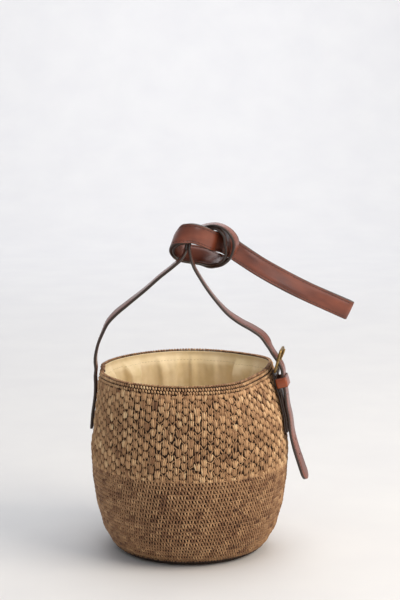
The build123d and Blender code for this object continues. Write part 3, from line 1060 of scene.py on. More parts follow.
    def upper_wall(self) -> None:
        """Chunky post stitches, each three strands, set like bricks."""
        start, end = self.form.run_at(self.stitch_change), self.form.run_at(self.rim_bottom)
        count = round((end - start) / self.post_row)
        step = (end - start - 2 * MM) / count
        half = self.stitches_round // 2
        pitch = 2 * math.pi / half
        strands, ties = [], []
        for number in range(-1, count + 1):
            azimuth = pitch * (np.arange(half) + 0.5 * (number % 2) + 0.012 * number)
            azimuth = azimuth + self.random.normal(0, 0.004, half)
            level = start + (number + 0.75) * step + 0.9 * MM * np.sin(2 * azimuth + number * 0.4)
            level = level + self.random.normal(0, 0.45 * MM, half)
            level = np.clip(level, start + 1.6 * MM, end - 2.8 * MM)
            short = 0.55 if number in (-1, count) else 1.0
            shade = self.shades(half, 0.62, 0.09)
            lean = self.random.normal(0.05, 0.1, half)
            grow = np.clip(self.random.normal(1, 0.08, half), 0.8, 1.2)
            for place in (-1, 0, 1):
                turn = lean - place * 0.12
                size = np.c_[grow, grow * short * (0.92 if place else 1.0), np.full(half, 1.0)]
                sink = (1.1 if place else 0.7) * MM
                near = self.random.normal(0, 0.11, half)
                strands.append(self.spots(azimuth + place * 0.0178, level, sink, shade + near, turn, size))
            for place, lean in ((0.36, 0.5), (0.64, -0.5)):
                # painted shade: the ties sit deep in the gaps between beads and are 0.12 darker
                ties.append(self.spots(azimuth + pitch * place, level, 1.7 * MM, shade - 0.12,
                                       lean + self.random.normal(0, 0.2, half),
                                       np.tile((1.0, 1.7, 1.0), (half, 1))))
        piece = self.grower.grow("crochet_upper_wall", Spots.gathered(strands), StrandShape.POST,
                                 self.post, self.finishes.raffia, 0.07, 0.08, 8)
        tied = self.grower.grow("upper_ties", Spots.gathered(ties), StrandShape.BAR, self.bar,
                                self.finishes.raffia, 0.15, 0.1, 9)
        shell = self.shell("upper_shell", np.linspace(start, end, 24))
        self.keep(joined([piece, tied, shell]), "crochet_upper_wall", "raffia_chunky")

    def rim(self) -> None:
        """Two finer rows and the chain that lies on top of them."""
        start, top = self.form.run_at(self.rim_bottom), self.form.run[-1]
        count = self.stitches_round
        rows = [start + (i + 0.5) * self.rim_row for i in range(2)]
        legs, _ = self.tight_rows(rows, [count] * 2, middle=0.63)
        legs.size[:, :2] *= (1.12, 0.72)
        legs.turn += 0.18
        groups = [legs]
        pitch = 2 * math.pi / count
        for side in (-1, 1):
            for half in (0, 0.5):
                azimuth = pitch * (np.arange(count) + half + 0.1)
                points, facing, _ = self.form.local(azimuth, np.full(count, top))
                flat = unit(facing * (1, 1, 0))
                across = np.cross(np.array((0, 0, 1.0)), flat)
                points = points - flat * (1.75 - side * 0.85) * MM - np.array((0, 0, 0.5 * MM))
                up = unit(np.array((0, 0, 1.0)) + flat * side * 0.6)
                groups.append(Spots(points, up, across, np.tile((0.85, 0.62, 0.9), (count, 1)),
                                    np.full(count, side * 0.5), self.shades(count, 0.36, 0.14)))
        piece = self.grower.grow("crochet_rim", Spots.gathered(groups), StrandShape.LEG, self.leg,
                                 self.finishes.raffia, 0.12, 0.09, 11)
        shell = self.shell("rim_shell", np.linspace(start, top - 0.9 * MM, 5), out=1.7 * MM, inner=2.7 * MM)
        self.keep(joined([piece, shell]), "crochet_rim", "raffia_rim")

    @staticmethod
    def keep(piece: bpy.types.Object, node: str, slot: str) -> None:
        """Let a piece stand for a crochet node of the frame.

        Args:
            piece: Finished strands.
            node: Node of the frame that they stand for.
            slot: Material slot of the record; not used.
        """
        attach(piece, "root")
        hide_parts(node)
        LOG.info("%s: %d faces", piece.name, len(piece.data.polygons))

    def build(self) -> None:
        """Build all four zones."""
        self.base()
        self.lower_wall()
        self.upper_wall()
        self.rim()


# ---------------------------------------------------------------- lining

@dataclass(frozen=True)
class Fold:
    """A fold of the lining that stands proud to the inside."""

    azimuth: float
    left: float             # width towards larger azimuths, degrees
    right: float
    depth: float            # in millimetres, negative for a hollow
    drift: float = 0.0      # degrees that it moves from top to bottom


@dataclass
class Lining:
    """Cotton lining: a wall that hangs from the rim in soft folds, and a round floor."""

    form: BagForm
    grower: StrandGrower
    finishes: Finishes
    folds: tuple[Fold, ...] = (
        Fold(54, 1.3, 12, 10.5, 2.0), Fold(61, 4, 4, -1.4, 2.0), Fold(89, 0.5, 5, 2.6, 0.5),
        Fold(73, 5, 2.2, 3.6, -8), Fold(99, 5, 1.8, 4.6, 14), Fold(113, 1.6, 6, 6.0, -16),
        Fold(128, 6, 1.4, 6.5, 18), Fold(143, 1.3, 8, 8.5, -34), Fold(160, 4, 2, 6.0, -24),
        Fold(33, 4, 3, 3.6, 8), Fold(180, 12, 12, 5.5, 0),
        Fold(18, 3, 6, 2.6, -5), Fold(205, 5, 4, 2.8, 8), Fold(226, 3, 6, 2.4, -6),
        Fold(250, 6, 4, 3.0, 5), Fold(274, 4, 5, 2.2, -7), Fold(296, 5, 3, 3.0, 6),
        Fold(318, 3, 6, 2.6, -5), Fold(338, 5, 5, 2.0, 4),
    )
    gap: float = 8.8 * MM           # from the outside of the crochet
    top_drop: float = 1.2 * MM      # the hem lies just under the rim's edge
    bottom: float = 11.6 * MM
    floor_radius: float = 79 * MM
    floor_height: float = 9.5 * MM
    cloth: float = 0.9 * MM
    hem_drop: float = 11 * MM
    hem_count: int = 150
    around: int = 400

    def inset(self, azimuth: np.ndarray, share: float) -> np.ndarray:
        """Distance inside the outside of the crochet; share runs from 0 at the floor to 1.

        Args:
            azimuth: Directions round the bag, in radians.
            share: Level on the wall.

        Returns:
            The distance in each direction.
        """
        hang = eased(np.array(share / 0.12)) * (1 - 0.93 * eased(np.array((share - 0.885) / 0.11)))
        out = np.zeros(len(azimuth))
        for fold in self.folds:
            offset = apart(azimuth, fold.azimuth + fold.drift * (1 - share))
            width = np.where(offset > 0, fold.left, fold.right)
            out += fold.depth * np.exp(-(offset / width) ** 2)
        fine = 0.35 * np.sin(azimuth * 41 + 9 * share) + 0.25 * np.sin(azimuth * 67 - 14 * share)
        under_rim = 5.3 * MM * eased(np.array((share - 0.925) / 0.065))
        return self.gap - under_rim + (out * hang + (fine + 0.6) * hang) * MM

    def wall_points(self, azimuth: np.ndarray, share: float) -> np.ndarray:
        """Points of the lining wall at one level.

        Args:
            azimuth: Directions round the bag, in radians.
            share: Level on the wall, from 0 at the floor to 1.

        Returns:
            One point for each direction.
        """
        low, high = self.form.run_at(self.bottom), self.form.run[-1] - self.top_drop
        along = np.full(len(azimuth), low + (high - low) * share)
        points, facing, _ = self.form.local(azimuth, along)
        return points - facing * self.inset(azimuth, share)[:, None]

    def wall(self) -> bpy.types.Object:
        """Hanging wall of the lining with its hem line.

        Returns:
            The wall.
        """
        azimuth = np.linspace(0, 2 * math.pi, self.around, endpoint=False)
        levels = np.concatenate([np.linspace(0, 0.86, 44), np.linspace(0.872, 1.0, 19)])
        rows = [self.wall_points(azimuth, share) for share in levels]
        flat = unit(rows[0] * (1, 1, 0))
        foot = flat * self.floor_radius + np.array((0, 0, self.floor_height + 1.4 * MM))
        rows = [foot] + rows
        piece = make_object("lining_wall", np.array(rows).reshape(-1, 3),
                            tube_faces(len(rows), self.around, capped=False), self.finishes.cotton)
        self.lay_plan(piece, lambda p: (math.atan2(p.y, p.x) * 0.105, p.z))
        self.thicken(piece)
        return piece

    def floor(self) -> bpy.types.Object:
        """Round lining floor, lying on the base board with a few soft puckers.

        Returns:
            The floor.
        """
        rings, around = 18, 96
        rows = []
        for i in range(rings):
            radius = (self.floor_radius + 0.5 * MM) * (i + 0.02) / (rings - 1 + 0.02)
            for turn in np.linspace(0, 2 * math.pi, around, endpoint=False):
                pucker = 0.35 * math.sin(7 * turn + 30 * radius) + 0.25 * math.sin(12 * turn + 1)
                lift = (0.35 + pucker) * (radius / self.floor_radius) ** 2
                height = self.floor_height + max(lift, 0) * MM
                rows.append((radius * math.cos(turn), radius * math.sin(turn), height))
        piece = make_object("lining_base", np.array(rows), tube_faces(rings, around), self.finishes.cotton)
        # the outer edge stays open, so the cap over it goes
        last = bmesh.new()
        last.from_mesh(piece.data)
        wide = [f for f in last.faces if len(f.verts) > 4 and f.calc_area() > 0.001]
        bmesh.ops.delete(last, geom=wide, context="FACES_ONLY")
        bmesh.ops.recalc_face_normals(last, faces=last.faces)
        last.to_mesh(piece.data)
        last.free()
        self.lay_plan(piece, lambda p: (p.x, p.y))
        self.thicken(piece)
        return piece

    def thicken(self, piece: bpy.types.Object) -> None:
        """Give the sheet its thickness towards the inside of the bag.

        Args:
            piece: Open sheet.
        """
        solid = piece.modifiers.new("thickness", "SOLIDIFY")
        solid.thickness = self.cloth
        solid.offset = 0.0

    @staticmethod
    def lay_plan(piece: bpy.types.Object, plan: Callable[[Vector], tuple[float, float]]) -> None:
        """Give a sheet a UV map in metres of cloth.

        Args:
            piece: Open sheet.
            plan: Place on the flat cloth of a point of the sheet.
        """
        layer = piece.data.uv_layers.new(name="cloth")
        for loop in piece.data.loops:
            layer.data[loop.index].uv = plan(piece.data.vertices[loop.vertex_index].co)

    def hem(self) -> bpy.types.Object:
        """Running stitches round the lining's top.

        Returns:
            The stitches.
        """
        azimuth = np.linspace(0, 2 * math.pi, self.hem_count, endpoint=False)
        low, high = self.form.run_at(self.bottom), self.form.run[-1] - self.top_drop
        share = 1 - self.hem_drop / (high - low)
        points = self.wall_points(azimuth, share)
        east = unit(self.wall_points(azimuth + 0.01, share) - self.wall_points(azimuth - 0.01, share))
        facing = unit(np.cross(east, np.array((0, 0, -1.0))))
        spots = Spots(points + facing * (self.cloth / 2 + 0.05 * MM), facing, east,
                      np.ones((self.hem_count, 3)), np.zeros(self.hem_count), np.full(self.hem_count, 0.5))
        return self.grower.grow("hem_stitches", spots, StrandShape.THREAD,
                                (0.4 * MM, 1.4 * MM, 0.3 * MM), self.finishes.hem_thread, 0.05, 0.05, 21)

    def build(self) -> None:
        """Build the lining's two sheets and its hem, and let them stand for their nodes."""
        wall, floor, hem = self.wall(), self.floor(), self.hem()
        for piece, node, slot in ((wall, "lining_wall", "lining_cotton"),
                                  (floor, "lining_base", "lining_cotton"),
                                  (hem, "hem_stitches", "hem_thread")):
            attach(piece, "root")
            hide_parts(node)
            LOG.info("%s: %d faces", piece.name, len(piece.data.polygons))


# ---------------------------------------------------------------- leather strips

@dataclass
class Route:
    """Centre line of a leather strip with the direction across it."""

    centres: np.ndarray
    across: np.ndarray

    @classmethod
    def of(cls, centres: Sequence, across: Sequence) -> "Route":
        """Route from given points, in millimetres."""
        return cls(np.array(centres, float) * MM, unit(np.array(across, float)))

    def places(self) -> np.ndarray:
        """Distance along the route of each point."""
        steps = np.linalg.norm(np.diff(self.centres, axis=0), axis=1)
        return np.concatenate([[0], np.cumsum(steps)])

    def finer(self, step: float) -> "Route":
        """Smooth route through the points, with more of them.

        Args:
            step: Largest distance between points.

        Returns:
            The finer route.
        """
        known = self.places()
        at = [np.array([0.0])]
        for start, end in zip(known, known[1:]):
            count = max(1, math.ceil((end - start) / step))
            at.append(start + (end - start) * np.arange(1, count + 1) / count)
        at = np.concatenate(at)
        return Route(smooth_run(known, self.centres, at), unit(smooth_run(known, self.across, at)))

    def frames(self) -> tuple[np.ndarray, np.ndarray, np.ndarray]:
        """Direction along, across and out of the strip's face at each point.

        Returns:
            Three arrays of directions.
        """
        along = unit(np.gradient(self.centres, axis=0))
        across = unit(self.across - along * (self.across * along).sum(1)[:, None])
        return along, across, np.cross(along, across)

    def offset(self, distance: np.ndarray) -> "Route":
        """Route moved out of the strip's face by a distance at each point."""
        return Route(self.centres + self.frames()[2] * distance[:, None], self.across)

    def reversed(self) -> "Route":
        """The same route, run the other way."""
        return Route(self.centres[::-1], self.across[::-1])

    @staticmethod
    def chained(routes: Sequence["Route"]) -> "Route":
        """Several routes, one after the other."""
        return Route(np.concatenate([r.centres for r in routes]), np.concatenate([r.across for r in routes]))


@dataclass
class LeatherStrip:
    """A strip of leather with rounded edges and a crease under each stitch line."""

    width: float = STRAP_WIDTH
    thickness: float = PLY
    creased: bool = True
    step: float = 2.5 * MM

    def section(self) -> np.ndarray:
        """Outline of the strip, (across, height), anticlockwise.

        Returns:
            One row for each point of the outline.
        """
        half, deep = self.width / 2, self.thickness / 2
        edge = deep * 0.75
        corner = [(half - edge + edge * math.sin(a), deep - edge + edge * math.cos(a))
                  for a in np.linspace(math.pi / 2, 0, 4)]
        line = half - STITCH_INSET
        groove = 0.22 * MM if self.creased else 0.0
        crown = 0.12 * MM
        face = [(line + 0.7 * MM, deep), (line, deep - groove), (line - 0.7 * MM, deep + crown * 0.4),
                (line * 0.5, deep + crown), (0, deep + crown * 1.3)]
        right = corner + face
        top = right + [(-x, y) for x, y in right[::-1][1:]]
        bottom = [(-x, -y) for x, y in top]
        return np.array(top + bottom)

    def sweep(self, name: str, route: Route, finish: bpy.types.Material, tip: float = 0.0,
              pared: Callable[[np.ndarray], np.ndarray] | None = None) -> bpy.types.Object:
        """Sweep the section along a route.

        Args:
            name: Name of the piece.
            route: Where the strip runs.
            finish: Its leather.
            tip: Length of the rounded tip at the route's end.
            pared: Share of the thickness that is left at each height, if it is pared down.

        Returns:
            The strip, with its leather coordinates stored.
        """
        fine = route.finer(self.step)
        if tip:
            fine = self.with_tip_points(fine)
        _, across, up = fine.frames()
        places, section = fine.places(), self.section()
        left = np.maximum(places[-1] - places, 0.0)
        narrow = np.ones(len(places))
        if tip:
            share = np.clip(left / tip, 0.0008, 1)
            narrow = np.sqrt(1 - (1 - share) ** 2.4)
        thin = pared(fine.centres[:, 2]) if pared else np.ones(len(places))
        rows, hide = [], []
        for i, centre in enumerate(fine.centres):
            x = section[:, 0] * narrow[i]
            rows.append(centre + np.outer(x, across[i]) + np.outer(section[:, 1] * thin[i], up[i]))
            hide.append(np.c_[np.full(len(x), places[i]), section[:, 0], section[:, 1]])
        strip = make_object(name, np.concatenate(rows), tube_faces(len(rows), len(section)), finish)
        store(strip.data, "leather", np.concatenate(hide))
        outward(strip, merge=False)
        return strip

    @staticmethod
    def with_tip_points(route: Route) -> Route:
        """Route with closer points over its last stretch, so that the tip is round.

        Args:
            route: Route of the strip.

        Returns:
            The route with the added points.
        """
        known = route.places()
        extra = known[-1] - np.array([2.2, 1.6, 1.1, 0.7, 0.4, 0.2, 0.08]) * MM
        at = np.unique(np.concatenate([known, extra]))
        return Route(smooth_run(known, route.centres, at), unit(smooth_run(known, route.across, at)))

    def stitch_spots(self, route: Route, faces: Sequence[int],
                     keep: Callable[[np.ndarray], np.ndarray] | None = None) -> Spots:
        """Spots of saddle stitches along both edges.

        Args:
            route: Where the strip runs.
            faces: +1 for the outer face, -1 for the inner one, or both.
            keep: Test of the points that get a stitch; all do without it.

        Returns:
            The spots, facing out of the leather.
        """
        fine = route.finer(self.step)
        along, across, up = fine.frames()
        places = fine.places()
        at = np.arange(STITCH_PITCH, places[-1] - STITCH_PITCH / 2, STITCH_PITCH)
        centre, ahead = smooth_run(places, fine.centres, at), unit(smooth_run(places, along, at))
        wide, out = unit(smooth_run(places, across, at)), unit(smooth_run(places, up, at))
        groups = []
        for side in (-1, 1):
            for face in faces:
                edge = self.width / 2 - STITCH_INSET
                points = centre + wide * side * edge + out * face * (self.thickness / 2 - 0.1 * MM)
                count = len(points)
                groups.append(Spots(points, out * face, ahead, np.ones((count, 3)),
                                    np.full(count, 0.1 * side), np.full(count, 0.5)))
        spots = Spots.gathered(groups)
        if keep is None:
            return spots
        chosen = keep(spots.points)
        return Spots(*(getattr(spots, part.name)[chosen] for part in fields(Spots)))


@dataclass
class BuckleSide:
    """Geometry of the buckle side: a vertical plane through the axis, and lines in it."""

    form: BagForm
    bar_radius: float = 1.6 * MM
    chape_ply: float = 2.3 * MM
    fold_length: float = 7.5 * MM
    strap_gap: float = 0.4 * MM
    skived: float = 1.5 * MM        # thickness of the chape where it is folded
    skive_from: float = 192 * MM
    bar: tuple[float, float] = field(init=False)
    turn: float = field(init=False)

    def __post_init__(self) -> None:
        """Take the bar's place from the buckle's joint."""
        x, y, up = JOINTS["buckle_turn"]["pos_m"]
        self.bar = (math.hypot(x, y), up)
        self.turn = math.atan2(y, x)

    @property
    def azimuth(self) -> float:
        """Direction of the buckle side in degrees."""
        return math.degrees(self.turn)

    @property
    def fold(self) -> float:
        """Radius of the chape's centre line round the bar."""
        return self.bar_radius + 0.2 * MM + self.skived / 2

    def thickness(self, height: np.ndarray) -> np.ndarray:
        """Thickness of the chape at a height: it is pared down towards its fold."""
        return self.chape_ply + (self.skived - self.chape_ply) * eased((height - self.skive_from) / (8 * MM))

    def point(self, out: float, up: float, across: float = 0.0) -> np.ndarray:
        """Point from its distances outwards, up and across."""
        c, s = math.cos(self.turn), math.sin(self.turn)
        return np.array((out * c - across * s, out * s + across * c, up))

    def across(self) -> np.ndarray:
        """Direction across the strap."""
        return np.array((-math.sin(self.turn), math.cos(self.turn), 0.0))

    def ply_line(self, outer: bool) -> list[tuple[float, float]]:
        """(outwards, up) line of one chape ply, from its sewn end to the bar.

        Args:
            outer: Whether it is the ply away from the bag.

        Returns:
            Points from low to high.
        """
        sign = 1 if outer else -1
        line = []
        for z in (152, 158, 164, 170, 177.5, 185, 192.5, 197, 202, 208):
            half = float(self.thickness(np.array(z * MM))) / 2
            offset = SEWN_CLEAR + (2 * self.chape_ply + 0.02 * MM - half if outer else half)
            line.append((self.form.reach(self.azimuth, z * MM) + offset, z * MM))
        out, up = self.bar
        closing = 0.65 * self.fold * sign
        last = line[-1]
        nearly = (out + closing, up - self.fold_length)
        line += [tuple(last[i] + (nearly[i] - last[i]) * share for i in (0, 1)) for share in (0.35, 0.7)]
        return line + [nearly, (out + sign * self.fold, up)]

    def over_chape(self, height: float) -> float:
        """Distance outwards of the strap's centre where it lies on the chape.

        Args:
            height: Height above the floor.

        Returns:
            The distance.
        """
        line = np.array(self.ply_line(True))
        half = float(self.thickness(np.array(height))) / 2
        return float(np.interp(height, line[:, 1], line[:, 0])) + half + self.strap_gap + PLY / 2

    def run_line(self) -> list[tuple[float, float]]:
        """(outwards, up) line of the strap from above the buckle to below the keeper.

        Returns:
            Points from high to low.
        """
        line = ((100.0, 255.5), (104.9, 247.4), (109.9, 240.7), (113.6, 234.6),
                (115.8, 228.3), (116.8, 220.5), (118.2, 210.5), (120.2, 199.4))
        return [(out * MM, up * MM) for out, up in line]

    def tail_line(self) -> list[tuple[float, float]]:
        """(outwards, up) line of the strap's free tail, from inside the keeper.

        Returns:
            Points from high to low.
        """
        line = [(120.2 * MM, 199.2 * MM)]
        line += [(self.over_chape(z * MM) + more * MM, z * MM) for z, more in ((186, 0.7), (170, 0.5))]
        lower = ((127.8, 150), (132.0, 133), (138.6, 113), (146.0, 92))
        return line + [(out * MM, up * MM) for out, up in lower]


@dataclass
class Strap:
    """The long strap: sewn at the left, tied in a knot at the top, buckled at the right."""

    form: BagForm
    side: BuckleSide
    grower: StrandGrower
    finishes: Finishes
    strip: LeatherStrip = field(default_factory=LeatherStrip)
    half_gap: float = 1.9 * MM      # from the doubled strap's middle to each ply's middle
    knot: tuple = (
        ((-2.2, -12, 377.2), (0, 1, 0)), ((0, -10, 387.5), (0, 1, 0)), ((8, -8, 396), (0, 1, 0)),
        ((20, -7, 400.8), (.03, 1, 0)), ((34, -11, 402.3), (.1, 1, 0)), ((46, -14.2, 396.5), (.2, 1, 0)),
        ((53.5, -13.5, 382.5), (.28, 1, 0)), ((51, -12.5, 370), (.2, 1, 0)),
        ((42.5, -7, 360.5), (.05, 1, .05)), ((30.5, 3, 359), (0, .87, .5)), ((16, 12, 363.5), (0, .59, .81)),
        ((1, 13, 366), (0, .5, .87)), ((-11.5, 10, 368.5), (0, .6, .8)), ((-17, 1, 373.5), (.05, .65, .76)),
        ((-18.5, -8, 380.5), (.25, .5, .8)), ((-14.5, -19, 389), (.4, .3, .85)),
        ((-7, -26.5, 394.5), (.35, .12, .92)), ((2, -29, 396.3), (.16, 0, 1)),
        ((14, -28.5, 393.5), (.2, 0, .97)),
        ((26.5, -20.5, 387), (.27, 0, .96)), ((36, -4, 383), (.35, 0, .94)),
        ((45, 7.5, 378.5), (.45, 0, .9)), ((60, 11.5, 368), (.52, 0, .86)), ((86, 11, 350.8), (.5, .1, .87)),
        ((113, 11, 335.4), (.47, .2, .88)), ((146, 11, 318.7), (.43, .12, .9)),
        ((170, 11, 308), (.42, .02, .91)),
        ((193.5, 11, 297.6), (.42, 0, .91)),
    )
    plies_at: dict = field(default_factory=lambda: {
        5: (2.2, -4.6), 6: (2.8, -8.2), 7: (2.2, -5.2), 27: (3.6, -3.6)})
    left_leg: tuple = (
        (-107, -1, 270), (-100.2, -2, 284), (-90.5, -3.5, 295), (-77.5, -5.5, 306), (-55, -9, 324.5),
        (-34, -13.5, 343.5), (-20, -18.2, 355.2), (-8.5, -17.2, 366), (-5, -12.5, 373.2),
    )
    left_across: tuple = (
        (-.02, 1, 0), (-.08, 1, 0), (-.13, 1, 0), (-.1, 1, 0), (-.02, 1, 0), (0, 1, 0), (0, 1, 0),
        (0, 1, 0), (0, 1, 0),
    )
    right_leg: tuple = (
        (94.6, -17.4, 262.9), (89.3, -17.2, 269.8), (78.5, -17, 277.6), (61, -17, 287.5), (46.5, -16.8, 298),
        (35.5, -16.2, 309.5), (24.3, -15.3, 323.5), (12.5, -14.3, 341.5), (5, -13.6, 355), (1.8, -13, 364.5),
        (0, -12.5, 374.6),
    )
    right_across: tuple = (
        (.3, 1, 0), (.31, 1, 0), (.3, 1, 0), (.22, 1, 0), (.1, 1, 0), (.02, 1, 0), (0, 1, 0), (0, 1, 0),
        (0, 1, 0), (0, 1, 0), (0, 1, 0),
    )
    bend_low: float = 254 * MM      # the strap bends over this height when it swings
    bend_high: float = 282 * MM
    prong_hole: tuple[float, float] = (114.5 * MM, 237.5 * MM)
    prong_hole_lean: float = math.radians(19)
    prong_hole_half: tuple[float, float] = (2 * MM, 7.25 * MM)
    spare_hole: float = 2 * MM
    spare_holes_at: tuple[float, ...] = (142 * MM, 122.5 * MM)
    tip_length: float = 11 * MM
    first_stitch: float = 0.154     # lowest stitch of the sewn left end
    last_stitch: float = 9 * MM     # above the buckle's bar

    def anchor(self) -> Route:
        """Sewn end on the left side, up to just under the swing line.

        Returns:
            Its route, rising.
        """
        offset = SEWN_CLEAR + PLY / 2
        line = [(self.form.reach(180, z * MM) + offset + loose * MM, z * MM) for z, loose in (
            (152, 0), (161, 0), (170, 0), (180, 0), (190, .1), (200, .7), (209, 1.6), (218, 2.7))]
        rim = self.form.reach(180, 226 * MM) + offset
        line += [(rim + 3.6 * MM, 226 * MM), (rim + 4.4 * MM, 236 * MM), (113.3 * MM, 253.2 * MM)]
        return Route(np.array([(-out, 0, up) for out, up in line]), np.tile((0.0, 1.0, 0.0), (len(line), 1)))

    def plies(self) -> tuple[Route, Route]:
        """Both plies of the doubled strap, from the legs to the loop's end.

        Returns:
            Routes of the outer and the inner ply.
        """
        route = Route.of([c for c, _ in self.knot], [a for _, a in self.knot])
        known = route.places()
        gaps = np.tile((self.half_gap, -self.half_gap), (len(self.knot), 1))
        for station, pair in self.plies_at.items():
            gaps[station] = np.array(pair) * MM
        fine = route.finer(5 * MM)
        places = fine.places()
        spread = smooth_run(known, gaps, places * known[-1] / places[-1])
        return fine.offset(spread[:, 0]), fine.offset(spread[:, 1])

    def loop_end(self, outer: Route) -> Route:
        """Turn of the leather at the loop's end.

        Args:
            outer: Route of the outer ply, which it carries on.

        Returns:
            Route of the turn.
        """
        along, _, up = outer.frames()
        radius = self.plies_at[27][0] * MM
        middle = outer.centres[-1] - up[-1] * radius
        turns = np.linspace(0, math.pi, 11)[1:-1]
        points = [middle + (up[-1] * math.cos(t) + along[-1] * math.sin(t)) * radius for t in turns]
        return Route(np.array(points), np.tile(outer.across[-1], (len(turns), 1)))

    def route(self) -> Route:
        """The whole strap from its sewn end to below the keeper.

        Returns:
            The route.
        """
        outer, inner = self.plies()
        run = self.side.run_line()
        across = self.side.across()
        down = Route(np.array([self.side.point(*p) for p in run]), np.tile(across, (len(run), 1)))
        return Route.chained([
            self.anchor(), Route.of(self.left_leg, self.left_across), outer, self.loop_end(outer),
            inner.reversed(), Route.of(self.right_leg, self.right_across).reversed(), down,
        ])

    def tail(self) -> None:
        """Free tail below the keeper, with its spare holes and a rounded tip."""
        line = self.side.tail_line()
        twist = np.linspace(0, 0.16, len(line))
        across = [self.side.across() + np.array((t, 0, 0)) for t in twist]
        route = Route(np.array([self.side.point(*p) for p in line]), unit(np.array(across)))
        piece = self.strip.sweep("strap_tail", route, self.finishes.strap, tip=self.tip_length)
        fine = route.finer(self.strip.step)
        along, _, up = fine.frames()
        cutters = []
        for height in self.spare_holes_at:
            i = int(np.argmin(np.abs(fine.centres[:, 2] - height)))
            cutters.append(self.punch(fine.centres[i], up[i], along[i], self.spare_hole, self.spare_hole))
        carve(piece, cutters)
        spots = self.strip.stitch_spots(
            route, (-1, 1), lambda p: (p[:, 2] > 0.104) & (p[:, 2] < 0.196))
        thread = self.thread("strap_tail_thread", spots, 33)
        start, end = self.side.point(0.1175, 0.2035), self.side.point(self.side.over_chape(0.185), 0.185)
        for part in (piece, thread):
            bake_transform(part)
        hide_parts("strap_tail")

    @staticmethod
    def punch(centre: np.ndarray, through: np.ndarray, along: np.ndarray, half_wide: float,
              half_long: float) -> bpy.types.Object:
        """Round or long cutter for a hole in a strip.

        Args:
            centre: Middle of the hole.
            through: Direction through the leather.
            along: Direction along the strip.
            half_wide: Half the width across the strip.
            half_long: Half the length along it.

        Returns:
            The cutter.
        """
        side = np.cross(through, along)
        rows = []
        for lift in (-5 * MM, 5 * MM):
            for turn in np.linspace(0, 2 * math.pi, 20, endpoint=False):
                shift = side * half_wide * math.cos(turn) + along * half_long * math.sin(turn)
                rows.append(centre + through * lift + shift)
        cutter = make_object("punch", np.array(rows), tube_faces(2, 20))
        outward(cutter)
        return cutter

    def thread(self, name: str, spots: Spots, seed: int) -> bpy.types.Object:
        """Saddle stitches of waxed thread."""
        return self.grower.grow(name, spots, StrandShape.THREAD, (0.42 * MM, 1.55 * MM, 0.36 * MM),
                                self.finishes.waxed_thread, 0.05, 0.06, seed)

    def build(self) -> None:
        """Build the strap, its thread and its tail."""
        route = self.route()
        strap = self.strip.sweep("strap", route, self.finishes.strap)
        out = self.side.point(1, 0)
        steep = self.prong_hole_lean
        along = -out * math.sin(steep) + np.array((0, 0, math.cos(steep)))
        through = out * math.cos(steep) + np.array((0, 0, math.sin(steep)))
        hole = self.side.point(*self.prong_hole)
        carve(strap, [self.punch(hole, unit(through), unit(along), *self.prong_hole_half)])
        right_edge = self.side.bar[1] + self.last_stitch
        spots = self.strip.stitch_spots(route, (-1, 1), lambda p: np.where(
            p[:, 0] < 0, p[:, 2] > self.first_stitch, p[:, 2] > right_edge))
        thread = self.thread("strap_thread", spots, 31)
        for piece in (strap, thread):
            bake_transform(piece)
        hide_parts("strap_left_end", "strap_left_leg", "strap_right_leg", "strap_knot_band",
                    "strap_knot_wrap", "strap_loop_end", "strap_buckle_run")
        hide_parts("left_anchor_stitches")
        LOG.info("strap: %d faces, thread: %d faces", len(strap.data.polygons), len(thread.data.polygons))
        self.tail()


# ---------------------------------------------------------------- buckle, chape and keeper

def swept_wire(name: str, centres: np.ndarray, radii: np.ndarray, finish: bpy.types.Material,
               closed: bool, side: np.ndarray, sides: int = 14) -> bpy.types.Object:
    """Wire with an oval section along a flat path.

    Args:
        name: Name of the piece.
        centres: Points of its centre line.
        radii: Half-sizes at each point, in the path's plane and along side.
        finish: Its material.
        closed: Whether the path closes on itself.
        side: Direction square to the path's plane.
        sides: Points round the wire.

    Returns:
        The wire.
    """
    if closed:
        along = unit(np.roll(centres, -1, 0) - np.roll(centres, 1, 0))
    else:
        along = unit(np.gradient(centres, axis=0))
    rows = []
    for centre, ahead, (wide, deep) in zip(centres, along, radii):
        inward = unit(np.cross(side, ahead))
        for turn in np.linspace(0, 2 * math.pi, sides, endpoint=False):
            rows.append(centre + inward * wide * math.cos(turn) + side * deep * math.sin(turn))
    wire = make_object(name, np.array(rows), tube_faces(len(centres), sides, closed=closed), finish)
    outward(wire)
    return wire


